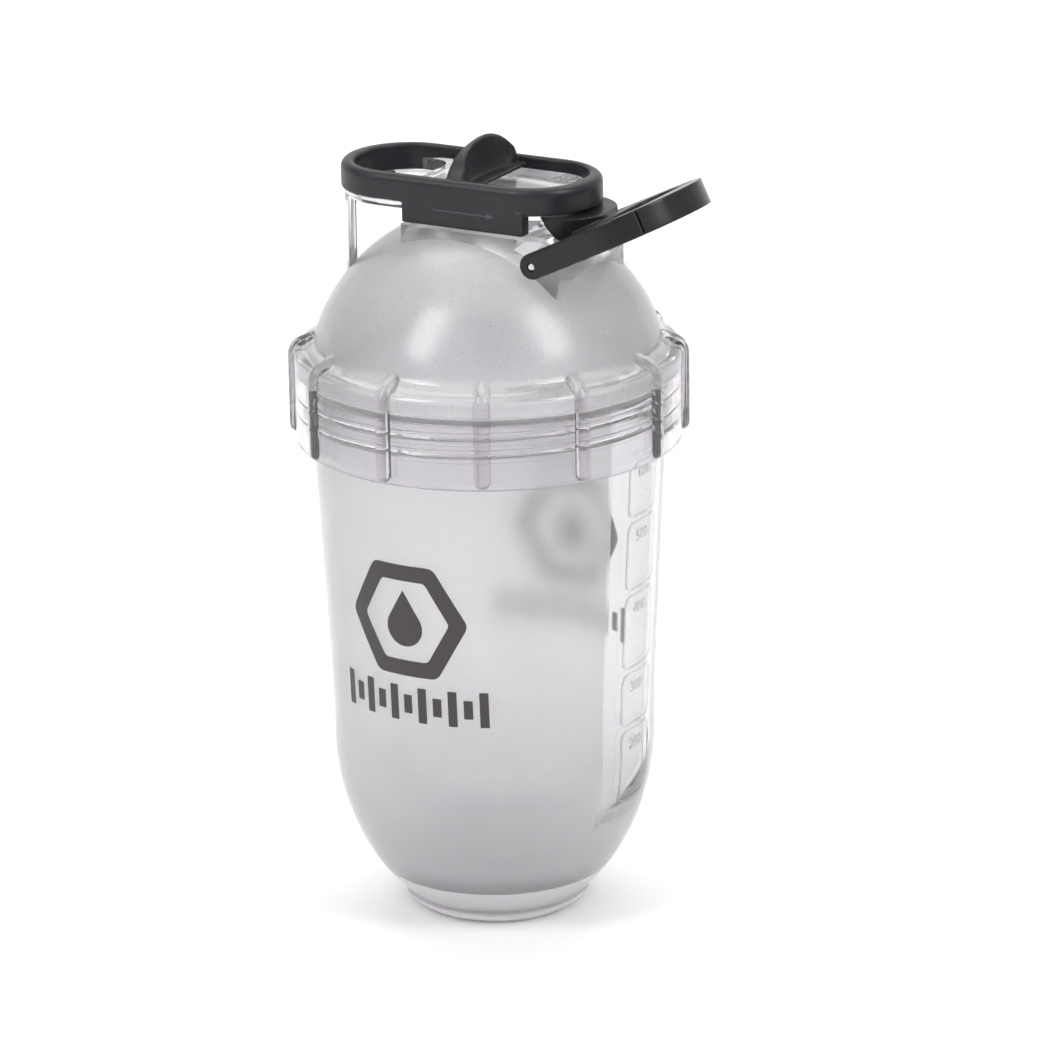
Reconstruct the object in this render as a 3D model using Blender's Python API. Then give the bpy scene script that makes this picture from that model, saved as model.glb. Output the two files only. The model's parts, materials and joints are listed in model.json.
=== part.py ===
"""Protein shaker bottle: capsule cup, screw-on clear dome lid, slide lock and flip-down drinking cap.

Units are metres, +Z up. The origin is the centre of the flat foot. +X is the long axis of the lid's top,
from the carry loop to the drinking mouth.
"""
import math

import bmesh
import bpy
from mathutils import Matrix, Vector

MM = 0.001
GAP = 0.3 * MM                # play between touching pieces
SEGMENTS = 60                 # facets round every large turned piece
OVERSHOOT = 1.0 * MM          # how far a cutter runs past the face it cuts

# Cup
FOOT_RADIUS = 21.3 * MM
FOOT_TOP_RADIUS = 24.9 * MM
FOOT_HEIGHT = 4.0 * MM
BOWL_HEIGHT = 48.5 * MM       # where the elliptical bowl turns into the tapered wall
BOWL_RADIUS = 42.2 * MM
BOWL_DEPTH = 54.0 * MM        # vertical half axis of the bowl's ellipse
WALL = 2.2 * MM
NECK_BOTTOM = 130.0 * MM
NECK_RADIUS = 45.8 * MM
RIM_HEIGHT = 145.0 * MM
INNER_BOTTOM = 6.5 * MM       # top of the thick base on the axis

# Thread between the cup's neck and the lid
THREAD_LEAD = 4.5 * MM
THREAD_TURNS = 1.25
THREAD_START = 134.0 * MM
THREAD_DEPTH = 1.4 * MM
THREAD_ROOT = 1.7 * MM        # width at the wall
THREAD_CREST = 0.8 * MM       # width at the crest

# Lid collar and dome
COLLAR_BOTTOM = 128.8 * MM
COLLAR_RADIUS = 50.35 * MM
COLLAR_BORE = 47.9 * MM
SHOULDER_BOTTOM = 151.0 * MM
DOME_CENTRE = 141.6 * MM
DOME_RADIUS = 47.3 * MM
DOME_WALL = 2.4 * MM
SEAL_SEAT = 147.1 * MM
RIB_COUNT = 12
RIB_PHASE = math.radians(-3.0)
RIB_RADIUS = 52.0 * MM
RIB_WIDTH = 4.6 * MM

# Saddle block, deck and carry loop on the dome
BLOCK_LEFT = -15.2 * MM
BLOCK_RIGHT = 30.6 * MM
BLOCK_HALF = 18.5 * MM
LEDGE_HEIGHT = 187.5 * MM
DECK_HALF = 14.0 * MM
DECK_TOP = 196.8 * MM
OVERHANG_BOTTOM = 194.0 * MM
FRAME_BOTTOM = 191.0 * MM
FRAME_RIM = 2.0 * MM
SEAM_STEP = 0.05 * MM         # keeps two overlapping shapes' faces out of one plane
LEG_RADIUS = 16.2 * MM
LEG_WALL = 2.2 * MM
LEG_HALF_ANGLE = math.radians(48.0)

# Slide lock: stadium frame with skirts and a thumb tab
SLIDE_CENTRE = -4.15 * MM
SLIDE_HALF_LENGTH = 36.05 * MM
SLIDE_HALF_WIDTH = 17.0 * MM
SLIDE_BOTTOM = 193.0 * MM
SLIDE_TOP = 200.1 * MM
SLIDE_TRAVEL = 5.0 * MM
OPENING_HALF_LENGTH = 31.8 * MM
OPENING_HALF_WIDTH = 14.3 * MM
OPENING_CORNER = 12.8 * MM
SKIRT_RIGHT = 20.0 * MM
TAB_CENTRE = -2.2 * MM
TAB_THICKNESS = 10.0 * MM
TAB_TOP = 208.2 * MM
SCOOP_RADIUS = 13.0 * MM

# Flip cap: yoke, cover, nose pad, plug and pins
PIVOT_X = 24.8 * MM
PIVOT_Z = 181.8 * MM
CAP_TILT = math.radians(26.0)       # rise of the closed cap's arms above the horizontal
FACE_TILT = math.radians(37.7)      # rise of the outward normal of the slanted mouth
FACE_OFFSET = 4.4 * MM              # distance of the mouth's face from the pivot
ARM_INNER = 18.8 * MM
ARM_OUTER = 21.5 * MM
ARM_HALF_DEPTH = 3.35 * MM
BOSS_RADIUS = 3.4 * MM
CAP_LENGTH = 39.5 * MM
NOSE_START = 19.5 * MM              # where the arms begin to curve in
FINGER_HOLE_START = 16.5 * MM
FINGER_HOLE_END = 29.5 * MM
PAD_START = 31.6 * MM
COVER_HALF = 12.8 * MM
COVER_TOP = 192.4 * MM
MOUTH_HALF = 9.0 * MM
MOUTH_LOW = 3.6 * MM                # mouth edges, measured up the slanted face from the pivot's foot
MOUTH_HIGH = 9.4 * MM
PIN_RADIUS = 0.9 * MM
PIN_INNER = 12.5 * MM
PIN_OUTER = 21.7 * MM
CAP_SWING = math.radians(54.0)      # how far the cap is pressed down, onto the dome


def clear_scene():
    for old in list(bpy.data.objects):
        bpy.data.objects.remove(old, do_unlink=True)


def material(name, colour, roughness, metallic=0.0, transmission=0.0):
    result = bpy.data.materials.new(name)
    result.use_nodes = True
    shader = result.node_tree.nodes["Principled BSDF"]
    shader.inputs["Base Color"].default_value = (*colour, 1.0)
    shader.inputs["Roughness"].default_value = roughness
    shader.inputs["Metallic"].default_value = metallic
    shader.inputs["Transmission Weight"].default_value = transmission
    return result


def new_object(name, mesh_builder, finish=None):
    """Make an object from a bmesh, with its faces pointing out and its round faces smooth."""
    bmesh.ops.remove_doubles(mesh_builder, verts=mesh_builder.verts, dist=1e-7)
    bmesh.ops.recalc_face_normals(mesh_builder, faces=mesh_builder.faces)
    mesh = bpy.data.meshes.new(name)
    mesh_builder.to_mesh(mesh)
    mesh_builder.free()
    mesh.shade_smooth()
    mesh.set_sharp_from_angle(angle=math.radians(32.0))
    result = bpy.data.objects.new(name, mesh)
    bpy.context.scene.collection.objects.link(result)
    if finish is not None:
        mesh.materials.append(finish)
    return result


def helper(name, mesh_builder):
    """A cutter or an addition that a Boolean uses; it isn't a piece."""
    result = new_object(name, mesh_builder)
    result.hide_render = True
    result.display_type = "WIRE"
    return result


def boolean(target, tool, operation):
    modifier = target.modifiers.new(tool.name, "BOOLEAN")
    modifier.operation = operation
    modifier.solver = "EXACT"
    modifier.object = tool


def add(target, name, mesh_builder):
    boolean(target, helper(name, mesh_builder), "UNION")


def cut(target, name, mesh_builder):
    boolean(target, helper(name, mesh_builder), "DIFFERENCE")


def arc(centre, radius, start, end, steps):
    """Points on a circular arc, both ends included, in the plane's own two coordinates."""
    points = []
    for index in range(steps + 1):
        angle = start + (end - start) * index / steps
        points.append((centre[0] + radius * math.cos(angle), centre[1] + radius * math.sin(angle)))
    return points


def lathe(profile, segments=SEGMENTS):
    """Turn a closed (radius, height) outline about Z; outline points at radius 0 close on the axis."""
    builder = bmesh.new()
    rings = []
    for radius, height in profile:
        if radius < 1e-9:
            rings.append([builder.verts.new((0.0, 0.0, height))] * segments)
            continue
        ring = []
        for index in range(segments):
            angle = 2.0 * math.pi * index / segments
            ring.append(builder.verts.new((radius * math.cos(angle), radius * math.sin(angle), height)))
        rings.append(ring)
    for first, second in zip(rings, rings[1:] + rings[:1]):
        for index in range(segments):
            following = (index + 1) % segments
            corners = [first[index], first[following], second[following], second[index]]
            distinct = list(dict.fromkeys(corners))
            if len(distinct) > 2:
                builder.faces.new(distinct)
    return builder


def prism(outline, low, high, place=Matrix.Identity(4)):
    """Extrude a flat outline from low to high along local Z, then move it by a matrix."""
    builder = bmesh.new()
    lower = [builder.verts.new(place @ Vector((x, y, low))) for x, y in outline]
    upper = [builder.verts.new(place @ Vector((x, y, high))) for x, y in outline]
    builder.faces.new(lower)
    builder.faces.new(upper)
    count = len(outline)
    for index in range(count):
        following = (index + 1) % count
        builder.faces.new((lower[index], lower[following], upper[following], upper[index]))
    return builder


# Local X, Y, Z of a side view become world X, Z, -Y.
SIDE_VIEW = Matrix(((1, 0, 0, 0), (0, 0, -1, 0), (0, 1, 0, 0), (0, 0, 0, 1)))


# Local X, Y, Z of a front view become world Y, Z, X.
FRONT_VIEW = Matrix(((0, 0, 1, 0), (1, 0, 0, 0), (0, 1, 0, 0), (0, 0, 0, 1)))


def side_prism(outline, half_width, centre=0.0):
    """Extrude an (x, z) outline by half_width to both sides of y = centre."""
    return prism(outline, -centre - half_width, -centre + half_width, SIDE_VIEW)


def box(x_range, y_range, z_range):
    corners = [(x_range[0], y_range[0]), (x_range[1], y_range[0])]
    corners += [(x_range[1], y_range[1]), (x_range[0], y_range[1])]
    return prism(corners, z_range[0], z_range[1])


def join(builders):
    """Put several closed shapes into one bmesh, as separate bodies."""
    result = bmesh.new()
    for builder in builders:
        mesh = bpy.data.meshes.new("part")
        builder.to_mesh(mesh)
        builder.free()
        result.from_mesh(mesh)
        bpy.data.meshes.remove(mesh)
    return result


def rounded_rectangle(centre_x, half_length, half_width, corner, steps=8):
    points = []
    for quarter in range(4):
        middle = math.radians(45.0 + 90.0 * quarter)
        x = centre_x + math.copysign(half_length - corner, math.cos(middle))
        y = math.copysign(half_width - corner, math.sin(middle))
        quarter_start = math.radians(90.0 * quarter)
        points += arc((x, y), corner, quarter_start, quarter_start + math.pi / 2.0, steps)
    return points


def thread(wall_radius, crest_radius, start_height, turns, tuck):
    """A helical ridge: wide root inside the wall, narrow crest; tuck is how far the root goes in."""
    builder = bmesh.new()
    steps = round(SEGMENTS * turns)
    root_radius = wall_radius - math.copysign(tuck, crest_radius - wall_radius)
    slices = []
    for index in range(steps + 1):
        angle = 2.0 * math.pi * index / SEGMENTS
        height = start_height + THREAD_LEAD * index / SEGMENTS
        fade = min(1.0, index / 4.0, (steps - index) / 4.0)
        crest = wall_radius + (crest_radius - wall_radius) * max(fade, 0.05)
        corners = []
        for radius, half in ((root_radius, THREAD_ROOT / 2.0), (crest, THREAD_CREST / 2.0)):
            for side in (-1.0, 1.0):
                z = height + side * half
                corners.append(builder.verts.new((radius * math.cos(angle), radius * math.sin(angle), z)))
        slices.append([corners[0], corners[2], corners[3], corners[1]])
    for first, second in zip(slices, slices[1:]):
        for index in range(4):
            following = (index + 1) % 4
            builder.faces.new((first[index], first[following], second[following], second[index]))
    builder.faces.new(slices[0])
    builder.faces.new(slices[-1])
    return builder


def cup_profile():
    """The cup's outside from the top of the foot to the rim."""
    points = []
    start = math.asin((BOWL_HEIGHT - FOOT_HEIGHT) / BOWL_DEPTH)
    for index in range(13):
        angle = -start * (1.0 - index / 12.0)
        points.append((BOWL_RADIUS * math.cos(angle), BOWL_HEIGHT + BOWL_DEPTH * math.sin(angle)))
    points.append((NECK_RADIUS, NECK_BOTTOM))
    points.append((NECK_RADIUS, RIM_HEIGHT))
    return points


def build_cup(finish):
    outline = [(0.0, 0.0), (FOOT_RADIUS, 0.0), (FOOT_TOP_RADIUS - 1.2 * MM, 1.6 * MM)]
    outline += cup_profile()
    inner_radius = BOWL_RADIUS - WALL
    inner_depth = BOWL_HEIGHT - INNER_BOTTOM
    outline.append((NECK_RADIUS - WALL, RIM_HEIGHT))
    outline.append((NECK_RADIUS - WALL, NECK_BOTTOM))
    for index in range(13):
        angle = math.pi / 2.0 * index / 12.0
        outline.append((inner_radius * math.cos(angle), BOWL_HEIGHT - inner_depth * math.sin(angle)))
    outline[-1] = (0.0, INNER_BOTTOM)
    cup = new_object("cup_body", lathe(outline), finish)
    ridge = thread(NECK_RADIUS, NECK_RADIUS + THREAD_DEPTH, THREAD_START, THREAD_TURNS, 0.6 * MM)
    add(cup, "cup_thread", ridge)
    return cup


def lid_shell_outline():
    """The lid's outer skin: collar wall, rounded shoulder, dome."""
    outline = [(0.0, COLLAR_BOTTOM), (COLLAR_RADIUS - 0.5 * MM, COLLAR_BOTTOM)]
    outline += [(COLLAR_RADIUS, COLLAR_BOTTOM + 0.6 * MM), (COLLAR_RADIUS, SHOULDER_BOTTOM)]
    outline += [(COLLAR_RADIUS - 0.6 * MM, SHOULDER_BOTTOM + 1.2 * MM)]
    outline += [(COLLAR_RADIUS - 2.0 * MM, SHOULDER_BOTTOM + 2.0 * MM)]
    dome_start = math.asin((SHOULDER_BOTTOM + 4.2 * MM - DOME_CENTRE) / DOME_RADIUS)
    outline += arc((0.0, DOME_CENTRE), DOME_RADIUS, dome_start, math.pi / 2.0, 16)
    outline[-1] = (0.0, DOME_CENTRE + DOME_RADIUS)
    return outline


def lid_hollow_outline():
    """The space inside the lid: collar bore below the seal's seat, dome above it."""
    inner = DOME_RADIUS - DOME_WALL
    seat_angle = math.asin((SEAL_SEAT - DOME_CENTRE) / inner)
    outline = [(0.0, COLLAR_BOTTOM - OVERSHOOT), (COLLAR_BORE, COLLAR_BOTTOM - OVERSHOOT)]
    outline += [(COLLAR_BORE, SEAL_SEAT)]
    outline += arc((0.0, DOME_CENTRE), inner, seat_angle, math.pi / 2.0, 16)
    outline[-1] = (0.0, DOME_CENTRE + inner)
    return outline


def grip_ribs():
    """Twelve upright ribs that wrap over the collar's shoulder."""
    top = SHOULDER_BOTTOM
    outline = [(COLLAR_RADIUS - 1.2 * MM, COLLAR_BOTTOM + 0.7 * MM)]
    outline += [(RIB_RADIUS - 0.7 * MM, COLLAR_BOTTOM + 0.7 * MM), (RIB_RADIUS, COLLAR_BOTTOM + 1.6 * MM)]
    outline += [(RIB_RADIUS, top), (RIB_RADIUS - 0.9 * MM, top + 1.9 * MM)]
    outline += [(RIB_RADIUS - 3.0 * MM, top + 3.6 * MM), (RIB_RADIUS - 6.4 * MM, top + 5.0 * MM)]
    outline += [(DOME_RADIUS - 3.0 * MM, top + 1.0 * MM)]
    ribs = []
    for index in range(RIB_COUNT):
        turn = Matrix.Rotation(RIB_PHASE + 2.0 * math.pi * index / RIB_COUNT, 4, "Z")
        rib = prism(outline, -RIB_WIDTH / 2.0, RIB_WIDTH / 2.0, turn @ SIDE_VIEW)
        bmesh.ops.remove_doubles(rib, verts=rib.verts, dist=1e-7)
        ribs.append(rib)
    return join(ribs)


def on_face(outward, upward):
    """A point given by its distances out of and up the slanted mouth, measured from the pivot."""
    x = PIVOT_X + outward * math.cos(FACE_TILT) - upward * math.sin(FACE_TILT)
    z = PIVOT_Z + outward * math.sin(FACE_TILT) + upward * math.cos(FACE_TILT)
    return (x, z)


def face_at_height(height):
    """The x of the slanted mouth face at a height."""
    rise = (height - PIVOT_Z) * math.sin(FACE_TILT)
    return PIVOT_X + (FACE_OFFSET - rise) / math.cos(FACE_TILT)


def face_height_at(x):
    """The height of the slanted mouth face at an x."""
    return PIVOT_Z + (FACE_OFFSET - (x - PIVOT_X) * math.cos(FACE_TILT)) / math.sin(FACE_TILT)


def saddle_block():
    base = DOME_CENTRE + 10.0 * MM
    return box((BLOCK_LEFT, BLOCK_RIGHT), (-BLOCK_HALF, BLOCK_HALF), (base, LEDGE_HEIGHT))


def deck():
    """The slab inside the slide's opening; it leaves the slide room to travel at its left end."""
    left = SLIDE_CENTRE - OPENING_HALF_LENGTH + SLIDE_TRAVEL + GAP
    right = SLIDE_CENTRE + OPENING_HALF_LENGTH - GAP
    corner = OPENING_CORNER - GAP
    outline = rounded_rectangle((left + right) / 2.0, (right - left) / 2.0, DECK_HALF, corner)
    return prism(outline, LEDGE_HEIGHT - OVERSHOOT, DECK_TOP)


def deck_undercut():
    """Opens the space under the deck's left part, between the block and the loop's leg."""
    left = SLIDE_CENTRE - OPENING_HALF_LENGTH
    return box((left, BLOCK_LEFT - SEAM_STEP), (-BLOCK_HALF, BLOCK_HALF),
               (LEDGE_HEIGHT - 2.0 * OVERSHOOT, FRAME_BOTTOM))


def slanted_cut():
    """Takes away the block's upper right corner, below the deck's overhang."""
    far = BLOCK_RIGHT + OVERSHOOT
    outline = [(face_at_height(OVERHANG_BOTTOM), OVERHANG_BOTTOM), (far, face_height_at(far))]
    outline += [(far, OVERHANG_BOTTOM)]
    return side_prism(outline, BLOCK_HALF + OVERSHOOT)


def loop_end_x():
    """Centre of the round left end shared by the slide, the loop's frame and the leg."""
    return SLIDE_CENTRE - SLIDE_HALF_LENGTH + SLIDE_HALF_WIDTH


def loop_band():
    """The flat band under the slide that carries the loop from the block round to the leg."""
    outline = arc((loop_end_x(), 0.0), LEG_RADIUS, math.pi / 2.0, math.pi * 1.5, 24)
    outline += [(BLOCK_LEFT - GAP, -LEG_RADIUS), (BLOCK_LEFT - GAP, LEG_RADIUS)]
    return prism(outline, FRAME_BOTTOM + 4.0 * SEAM_STEP, SLIDE_BOTTOM - GAP)


def finger_hole():
    centre = loop_end_x()
    radius = DECK_HALF - FRAME_RIM
    corner = 5.0 * MM
    right = BLOCK_LEFT - OVERSHOOT
    outline = arc((centre, 0.0), radius, math.pi / 2.0, math.pi * 1.5, 16)
    outline += arc((right - corner, corner - radius), corner, -math.pi / 2.0, 0.0, 5)
    outline += arc((right - corner, radius - corner), corner, 0.0, math.pi / 2.0, 5)
    return prism(outline, FRAME_BOTTOM - 4.0 * MM, DECK_TOP + OVERSHOOT)


def loop_leg():
    """The curved plate under the loop's round end, thickened by a fillet where it meets the band."""
    outer = LEG_RADIUS - SEAM_STEP
    inner = outer - LEG_WALL
    top = SLIDE_BOTTOM - GAP - 0.7 * MM
    base = DOME_CENTRE + 15.0 * MM
    section = [(inner, base), (outer, base), (outer, top), (inner - 1.2 * MM, top)]
    section += [(inner - 0.5 * MM, FRAME_BOTTOM - 0.8 * MM), (inner, FRAME_BOTTOM - 2.4 * MM)]
    builder = bmesh.new()
    steps = 16
    slices = []
    for index in range(steps + 1):
        angle = math.pi - LEG_HALF_ANGLE + 2.0 * LEG_HALF_ANGLE * index / steps
        ring = []
        for radius, height in section:
            x = loop_end_x() + radius * math.cos(angle)
            ring.append(builder.verts.new((x, radius * math.sin(angle), height)))
        slices.append(ring)
    count = len(section)
    for first, second in zip(slices, slices[1:]):
        for index in range(count):
            following = (index + 1) % count
            builder.faces.new((first[index], first[following], second[following], second[index]))
    builder.faces.new(slices[0])
    builder.faces.new(slices[-1])
    return builder


def mouth_channel():
    """The drinking passage: square to the slanted face, then down into the dome."""
    outline = [on_face(FACE_OFFSET + OVERSHOOT, MOUTH_LOW), on_face(FACE_OFFSET + OVERSHOOT, MOUTH_HIGH)]
    outline += [on_face(-3.0 * MM, MOUTH_HIGH), (12.0 * MM, 174.0 * MM), (20.0 * MM, 174.0 * MM)]
    outline += [on_face(-0.5 * MM, MOUTH_LOW)]
    return side_prism(outline, MOUTH_HALF)


def pivot_cylinder(radius, half_length, centre_y, steps=14):
    outline = arc((PIVOT_X, PIVOT_Z), radius, 0.0, 2.0 * math.pi, steps)[:-1]
    return side_prism(outline, half_length, centre_y)


def pin_centre(side):
    return side * (PIN_INNER + PIN_OUTER) / 2.0


def build_lid(finish):
    lid = new_object("lid_shell", lathe(lid_shell_outline()), finish)
    add(lid, "lid_ribs", grip_ribs())
    add(lid, "lid_block", saddle_block())
    add(lid, "lid_deck", deck())
    cut(lid, "lid_slant", slanted_cut())
    cut(lid, "lid_undercut", deck_undercut())
    add(lid, "lid_band", loop_band())
    add(lid, "lid_leg", loop_leg())
    cut(lid, "lid_hollow", lathe(lid_hollow_outline()))
    cut(lid, "lid_finger_hole", finger_hole())
    cut(lid, "lid_mouth", mouth_channel())
    bore_half = (PIN_OUTER - PIN_INNER) / 2.0 + GAP
    for side, label in ((-1.0, "front"), (1.0, "rear")):
        bore = pivot_cylinder(PIN_RADIUS + GAP, bore_half, pin_centre(side))
        cut(lid, "lid_pin_bore_" + label, bore)
    start = THREAD_START + THREAD_LEAD * 0.5
    ridge = thread(COLLAR_BORE, COLLAR_BORE - THREAD_DEPTH, start, THREAD_TURNS, 0.6 * MM)
    add(lid, "lid_thread", ridge)
    return lid


def build_seal(finish):
    low = RIM_HEIGHT + GAP
    high = SEAL_SEAT - GAP
    inner = NECK_RADIUS - WALL + 0.8 * MM
    outer = NECK_RADIUS + 1.2 * MM
    outline = [(inner, low), (outer, low), (outer, high), (inner, high)]
    return new_object("lid_seal", lathe(outline), finish)


def thumb_tab():
    """A half-round fin across the slide's opening, with a thumb scoop on its +X side."""
    low = DECK_TOP + GAP
    rise = TAB_TOP - SLIDE_TOP + 2.5 * MM
    half_chord = OPENING_HALF_WIDTH + 0.8 * MM
    radius = (rise * rise + half_chord * half_chord) / (2.0 * rise)
    centre_height = TAB_TOP - radius
    spread = math.asin(half_chord / radius)
    across = arc((0.0, centre_height), radius, math.pi / 2.0 - spread, math.pi / 2.0 + spread, 16)
    across += [(-half_chord, low), (half_chord, low)]
    left = TAB_CENTRE - TAB_THICKNESS / 2.0
    right = TAB_CENTRE + TAB_THICKNESS / 2.0
    return prism(across, left, right, FRONT_VIEW)


def build_slide(finish):
    outline = rounded_rectangle(SLIDE_CENTRE, SLIDE_HALF_LENGTH, SLIDE_HALF_WIDTH, SLIDE_HALF_WIDTH)
    slide = new_object("slide_lock", prism(outline, SLIDE_BOTTOM, SLIDE_TOP), finish)
    skirt = box((BLOCK_LEFT, SKIRT_RIGHT), (-SLIDE_HALF_WIDTH, SLIDE_HALF_WIDTH),
                (LEDGE_HEIGHT + GAP, SLIDE_BOTTOM + OVERSHOOT))
    add(slide, "slide_skirts", skirt)
    opening = rounded_rectangle(SLIDE_CENTRE, OPENING_HALF_LENGTH, OPENING_HALF_WIDTH, OPENING_CORNER)
    cut(slide, "slide_opening", prism(opening, SLIDE_BOTTOM - 8.0 * MM, SLIDE_TOP + OVERSHOOT))
    add(slide, "slide_tab", thumb_tab())
    scoop = bmesh.new()
    bmesh.ops.create_uvsphere(scoop, u_segments=28, v_segments=16, radius=SCOOP_RADIUS)
    scoop_x = TAB_CENTRE + TAB_THICKNESS / 2.0 + SCOOP_RADIUS - 7.6 * MM
    bmesh.ops.translate(scoop, verts=scoop.verts, vec=(scoop_x, 0.0, TAB_TOP + 1.0 * MM))
    cut(slide, "slide_scoop", scoop)
    back = bmesh.new()
    bmesh.ops.create_uvsphere(back, u_segments=28, v_segments=16, radius=22.0 * MM)
    back_x = TAB_CENTRE - TAB_THICKNESS / 2.0 - 22.0 * MM + 3.0 * MM
    bmesh.ops.translate(back, verts=back.verts, vec=(back_x, 0.0, TAB_TOP + 9.0 * MM))
    cut(slide, "slide_tab_back", back)
    return slide


def cap_frame():
    """From the cap's own frame (x along the arms, y up out of them) to the world's side view."""
    return Matrix.Translation((PIVOT_X, 0.0, PIVOT_Z)) @ Matrix.Rotation(-CAP_TILT, 4, "Y")


def yoke():
    """Straight arms from the pivot to a half-ellipse nose."""
    reach = CAP_LENGTH - NOSE_START
    outline = [(0.0, -ARM_OUTER)]
    for index in range(25):
        angle = -math.pi / 2.0 + math.pi * index / 24.0
        outline.append((NOSE_START + reach * math.cos(angle), ARM_OUTER * math.sin(angle)))
    outline.append((0.0, ARM_OUTER))
    return prism(outline, -ARM_HALF_DEPTH, ARM_HALF_DEPTH, cap_frame())


def dome_relief():
    """The dome as it stands to the cap once the cap is pressed down, with a gap between them."""
    builder = bmesh.new()
    bmesh.ops.create_uvsphere(builder, u_segments=60, v_segments=40, radius=DOME_RADIUS + 2.0 * GAP)
    bmesh.ops.translate(builder, verts=builder.verts, vec=(0.0, 0.0, DOME_CENTRE))
    pivot = Matrix.Translation((PIVOT_X, 0.0, PIVOT_Z))
    turn = pivot @ Matrix.Rotation(-CAP_SWING, 4, "Y") @ pivot.inverted()
    bmesh.ops.transform(builder, matrix=turn, verts=builder.verts)
    return builder


def cover_outline():
    """The cover over the mouth, as an (x, z) outline in the closed position."""
    web_x = PIVOT_X + 8.0 * MM * math.cos(CAP_TILT)
    web_z = PIVOT_Z + 8.0 * MM * math.sin(CAP_TILT)
    outer = on_face(FACE_OFFSET + 9.3 * MM, 0.0)
    top_x = face_at_height(COVER_TOP) + GAP / math.cos(FACE_TILT)
    outline = [on_face(FACE_OFFSET + GAP, MOUTH_LOW - 0.6 * MM), (web_x, web_z)]
    outline += [(PIVOT_X + 16.0 * MM * math.cos(CAP_TILT), PIVOT_Z + 16.0 * MM * math.sin(CAP_TILT))]
    outline += [(outer[0] + 1.6 * MM, outer[1] + 1.4 * MM), (outer[0] - 0.4 * MM, COVER_TOP)]
    outline += [(top_x, COVER_TOP)]
    return outline


def plug_outline():
    """The plug's section: an arc about the pivot below, so that it swings clear of the mouth's edge."""
    face = FACE_OFFSET + GAP - 0.05 * MM
    depth = 3.0 * MM
    clear = math.hypot(FACE_OFFSET, MOUTH_LOW) + GAP
    low_start = math.asin((face - depth) / clear)
    low_end = math.asin(FACE_OFFSET / clear)
    outline = []
    for index in range(6):
        angle = low_start + (low_end - low_start) * index / 5.0
        outline.append(on_face(clear * math.sin(angle), clear * math.cos(angle)))
    outline += [on_face(FACE_OFFSET, MOUTH_HIGH - GAP), on_face(face - depth, MOUTH_HIGH - GAP - 0.6 * MM)]
    return outline


def build_cap(finish):
    frame = cap_frame()
    cap = new_object("flip_cap", yoke(), finish)
    add(cap, "cap_bosses", pivot_cylinder(BOSS_RADIUS, ARM_OUTER, 0.0, 24))
    slot = [(-6.0 * MM, -ARM_INNER), (8.6 * MM, -ARM_INNER), (8.6 * MM, ARM_INNER), (-6.0 * MM, ARM_INNER)]
    cut(cap, "cap_slot", prism(slot, -6.0 * MM, 6.0 * MM, frame))
    hole_middle = (FINGER_HOLE_START + FINGER_HOLE_END) / 2.0
    hole_half = (FINGER_HOLE_END - FINGER_HOLE_START) / 2.0
    hole = rounded_rectangle(hole_middle, hole_half, 15.0 * MM, 5.0 * MM, 5)
    cut(cap, "cap_finger_hole", prism(hole, -6.0 * MM, 6.0 * MM, frame))
    add(cap, "cap_cover", side_prism(cover_outline(), COVER_HALF))
    cut(cap, "cap_dome_relief", dome_relief())
    pad_box = [(PAD_START, -ARM_OUTER), (CAP_LENGTH + OVERSHOOT, -ARM_OUTER)]
    pad_box += [(CAP_LENGTH + OVERSHOOT, ARM_OUTER), (PAD_START, ARM_OUTER)]
    cut(cap, "cap_pad_seat", prism(pad_box, -6.0 * MM, 6.0 * MM, frame))
    for side, label in ((-1.0, "front"), (1.0, "rear")):
        middle = side * (ARM_INNER + ARM_OUTER) / 2.0
        bore = pivot_cylinder(PIN_RADIUS + GAP, 3.0 * MM, middle)
        cut(cap, "cap_pin_bore_" + label, bore)
    return cap


def build_nose(finish):
    """The glossy nose piece that the finger lifts."""
    nose = new_object("cap_nose", yoke(), finish)
    arms = [(-6.0 * MM, -30.0 * MM), (PAD_START + GAP, -30.0 * MM)]
    arms += [(PAD_START + GAP, 30.0 * MM), (-6.0 * MM, 30.0 * MM)]
    cut(nose, "nose_trim", prism(arms, -6.0 * MM, 6.0 * MM, cap_frame()))
    return nose


def build_plug(finish):
    return new_object("mouth_plug", side_prism(plug_outline(), MOUTH_HALF - GAP), finish)


def build_pins(finish):
    for side, label in ((-1.0, "front"), (1.0, "rear")):
        half = (PIN_OUTER - PIN_INNER) / 2.0
        new_object("hinge_pin_" + label, pivot_cylinder(PIN_RADIUS, half, pin_centre(side)), finish)


def main():
    clear_scene()
    clear_plastic = material("clear_plastic", (0.86, 0.85, 0.87), 0.12, transmission=0.85)
    black_plastic = material("black_plastic", (0.045, 0.047, 0.053), 0.38)
    black_gloss = material("black_gloss_plastic", (0.04, 0.042, 0.048), 0.22)
    silicone = material("clear_silicone", (0.75, 0.75, 0.76), 0.5)
    plug_silicone = material("black_silicone", (0.03, 0.03, 0.033), 0.55)
    steel = material("steel", (0.62, 0.61, 0.60), 0.25, metallic=1.0)
    build_cup(clear_plastic)
    build_lid(clear_plastic)
    build_seal(silicone)
    build_slide(black_plastic)
    build_cap(black_plastic)
    build_nose(black_gloss)
    build_plug(plug_silicone)
    build_pins(steel)


main()
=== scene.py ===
"""The shaker bottle's looks: clear shells, moulded black parts, prints, floor, light and camera."""
import json
import math

import bmesh
import bpy
from mathutils import Matrix, Vector


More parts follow.
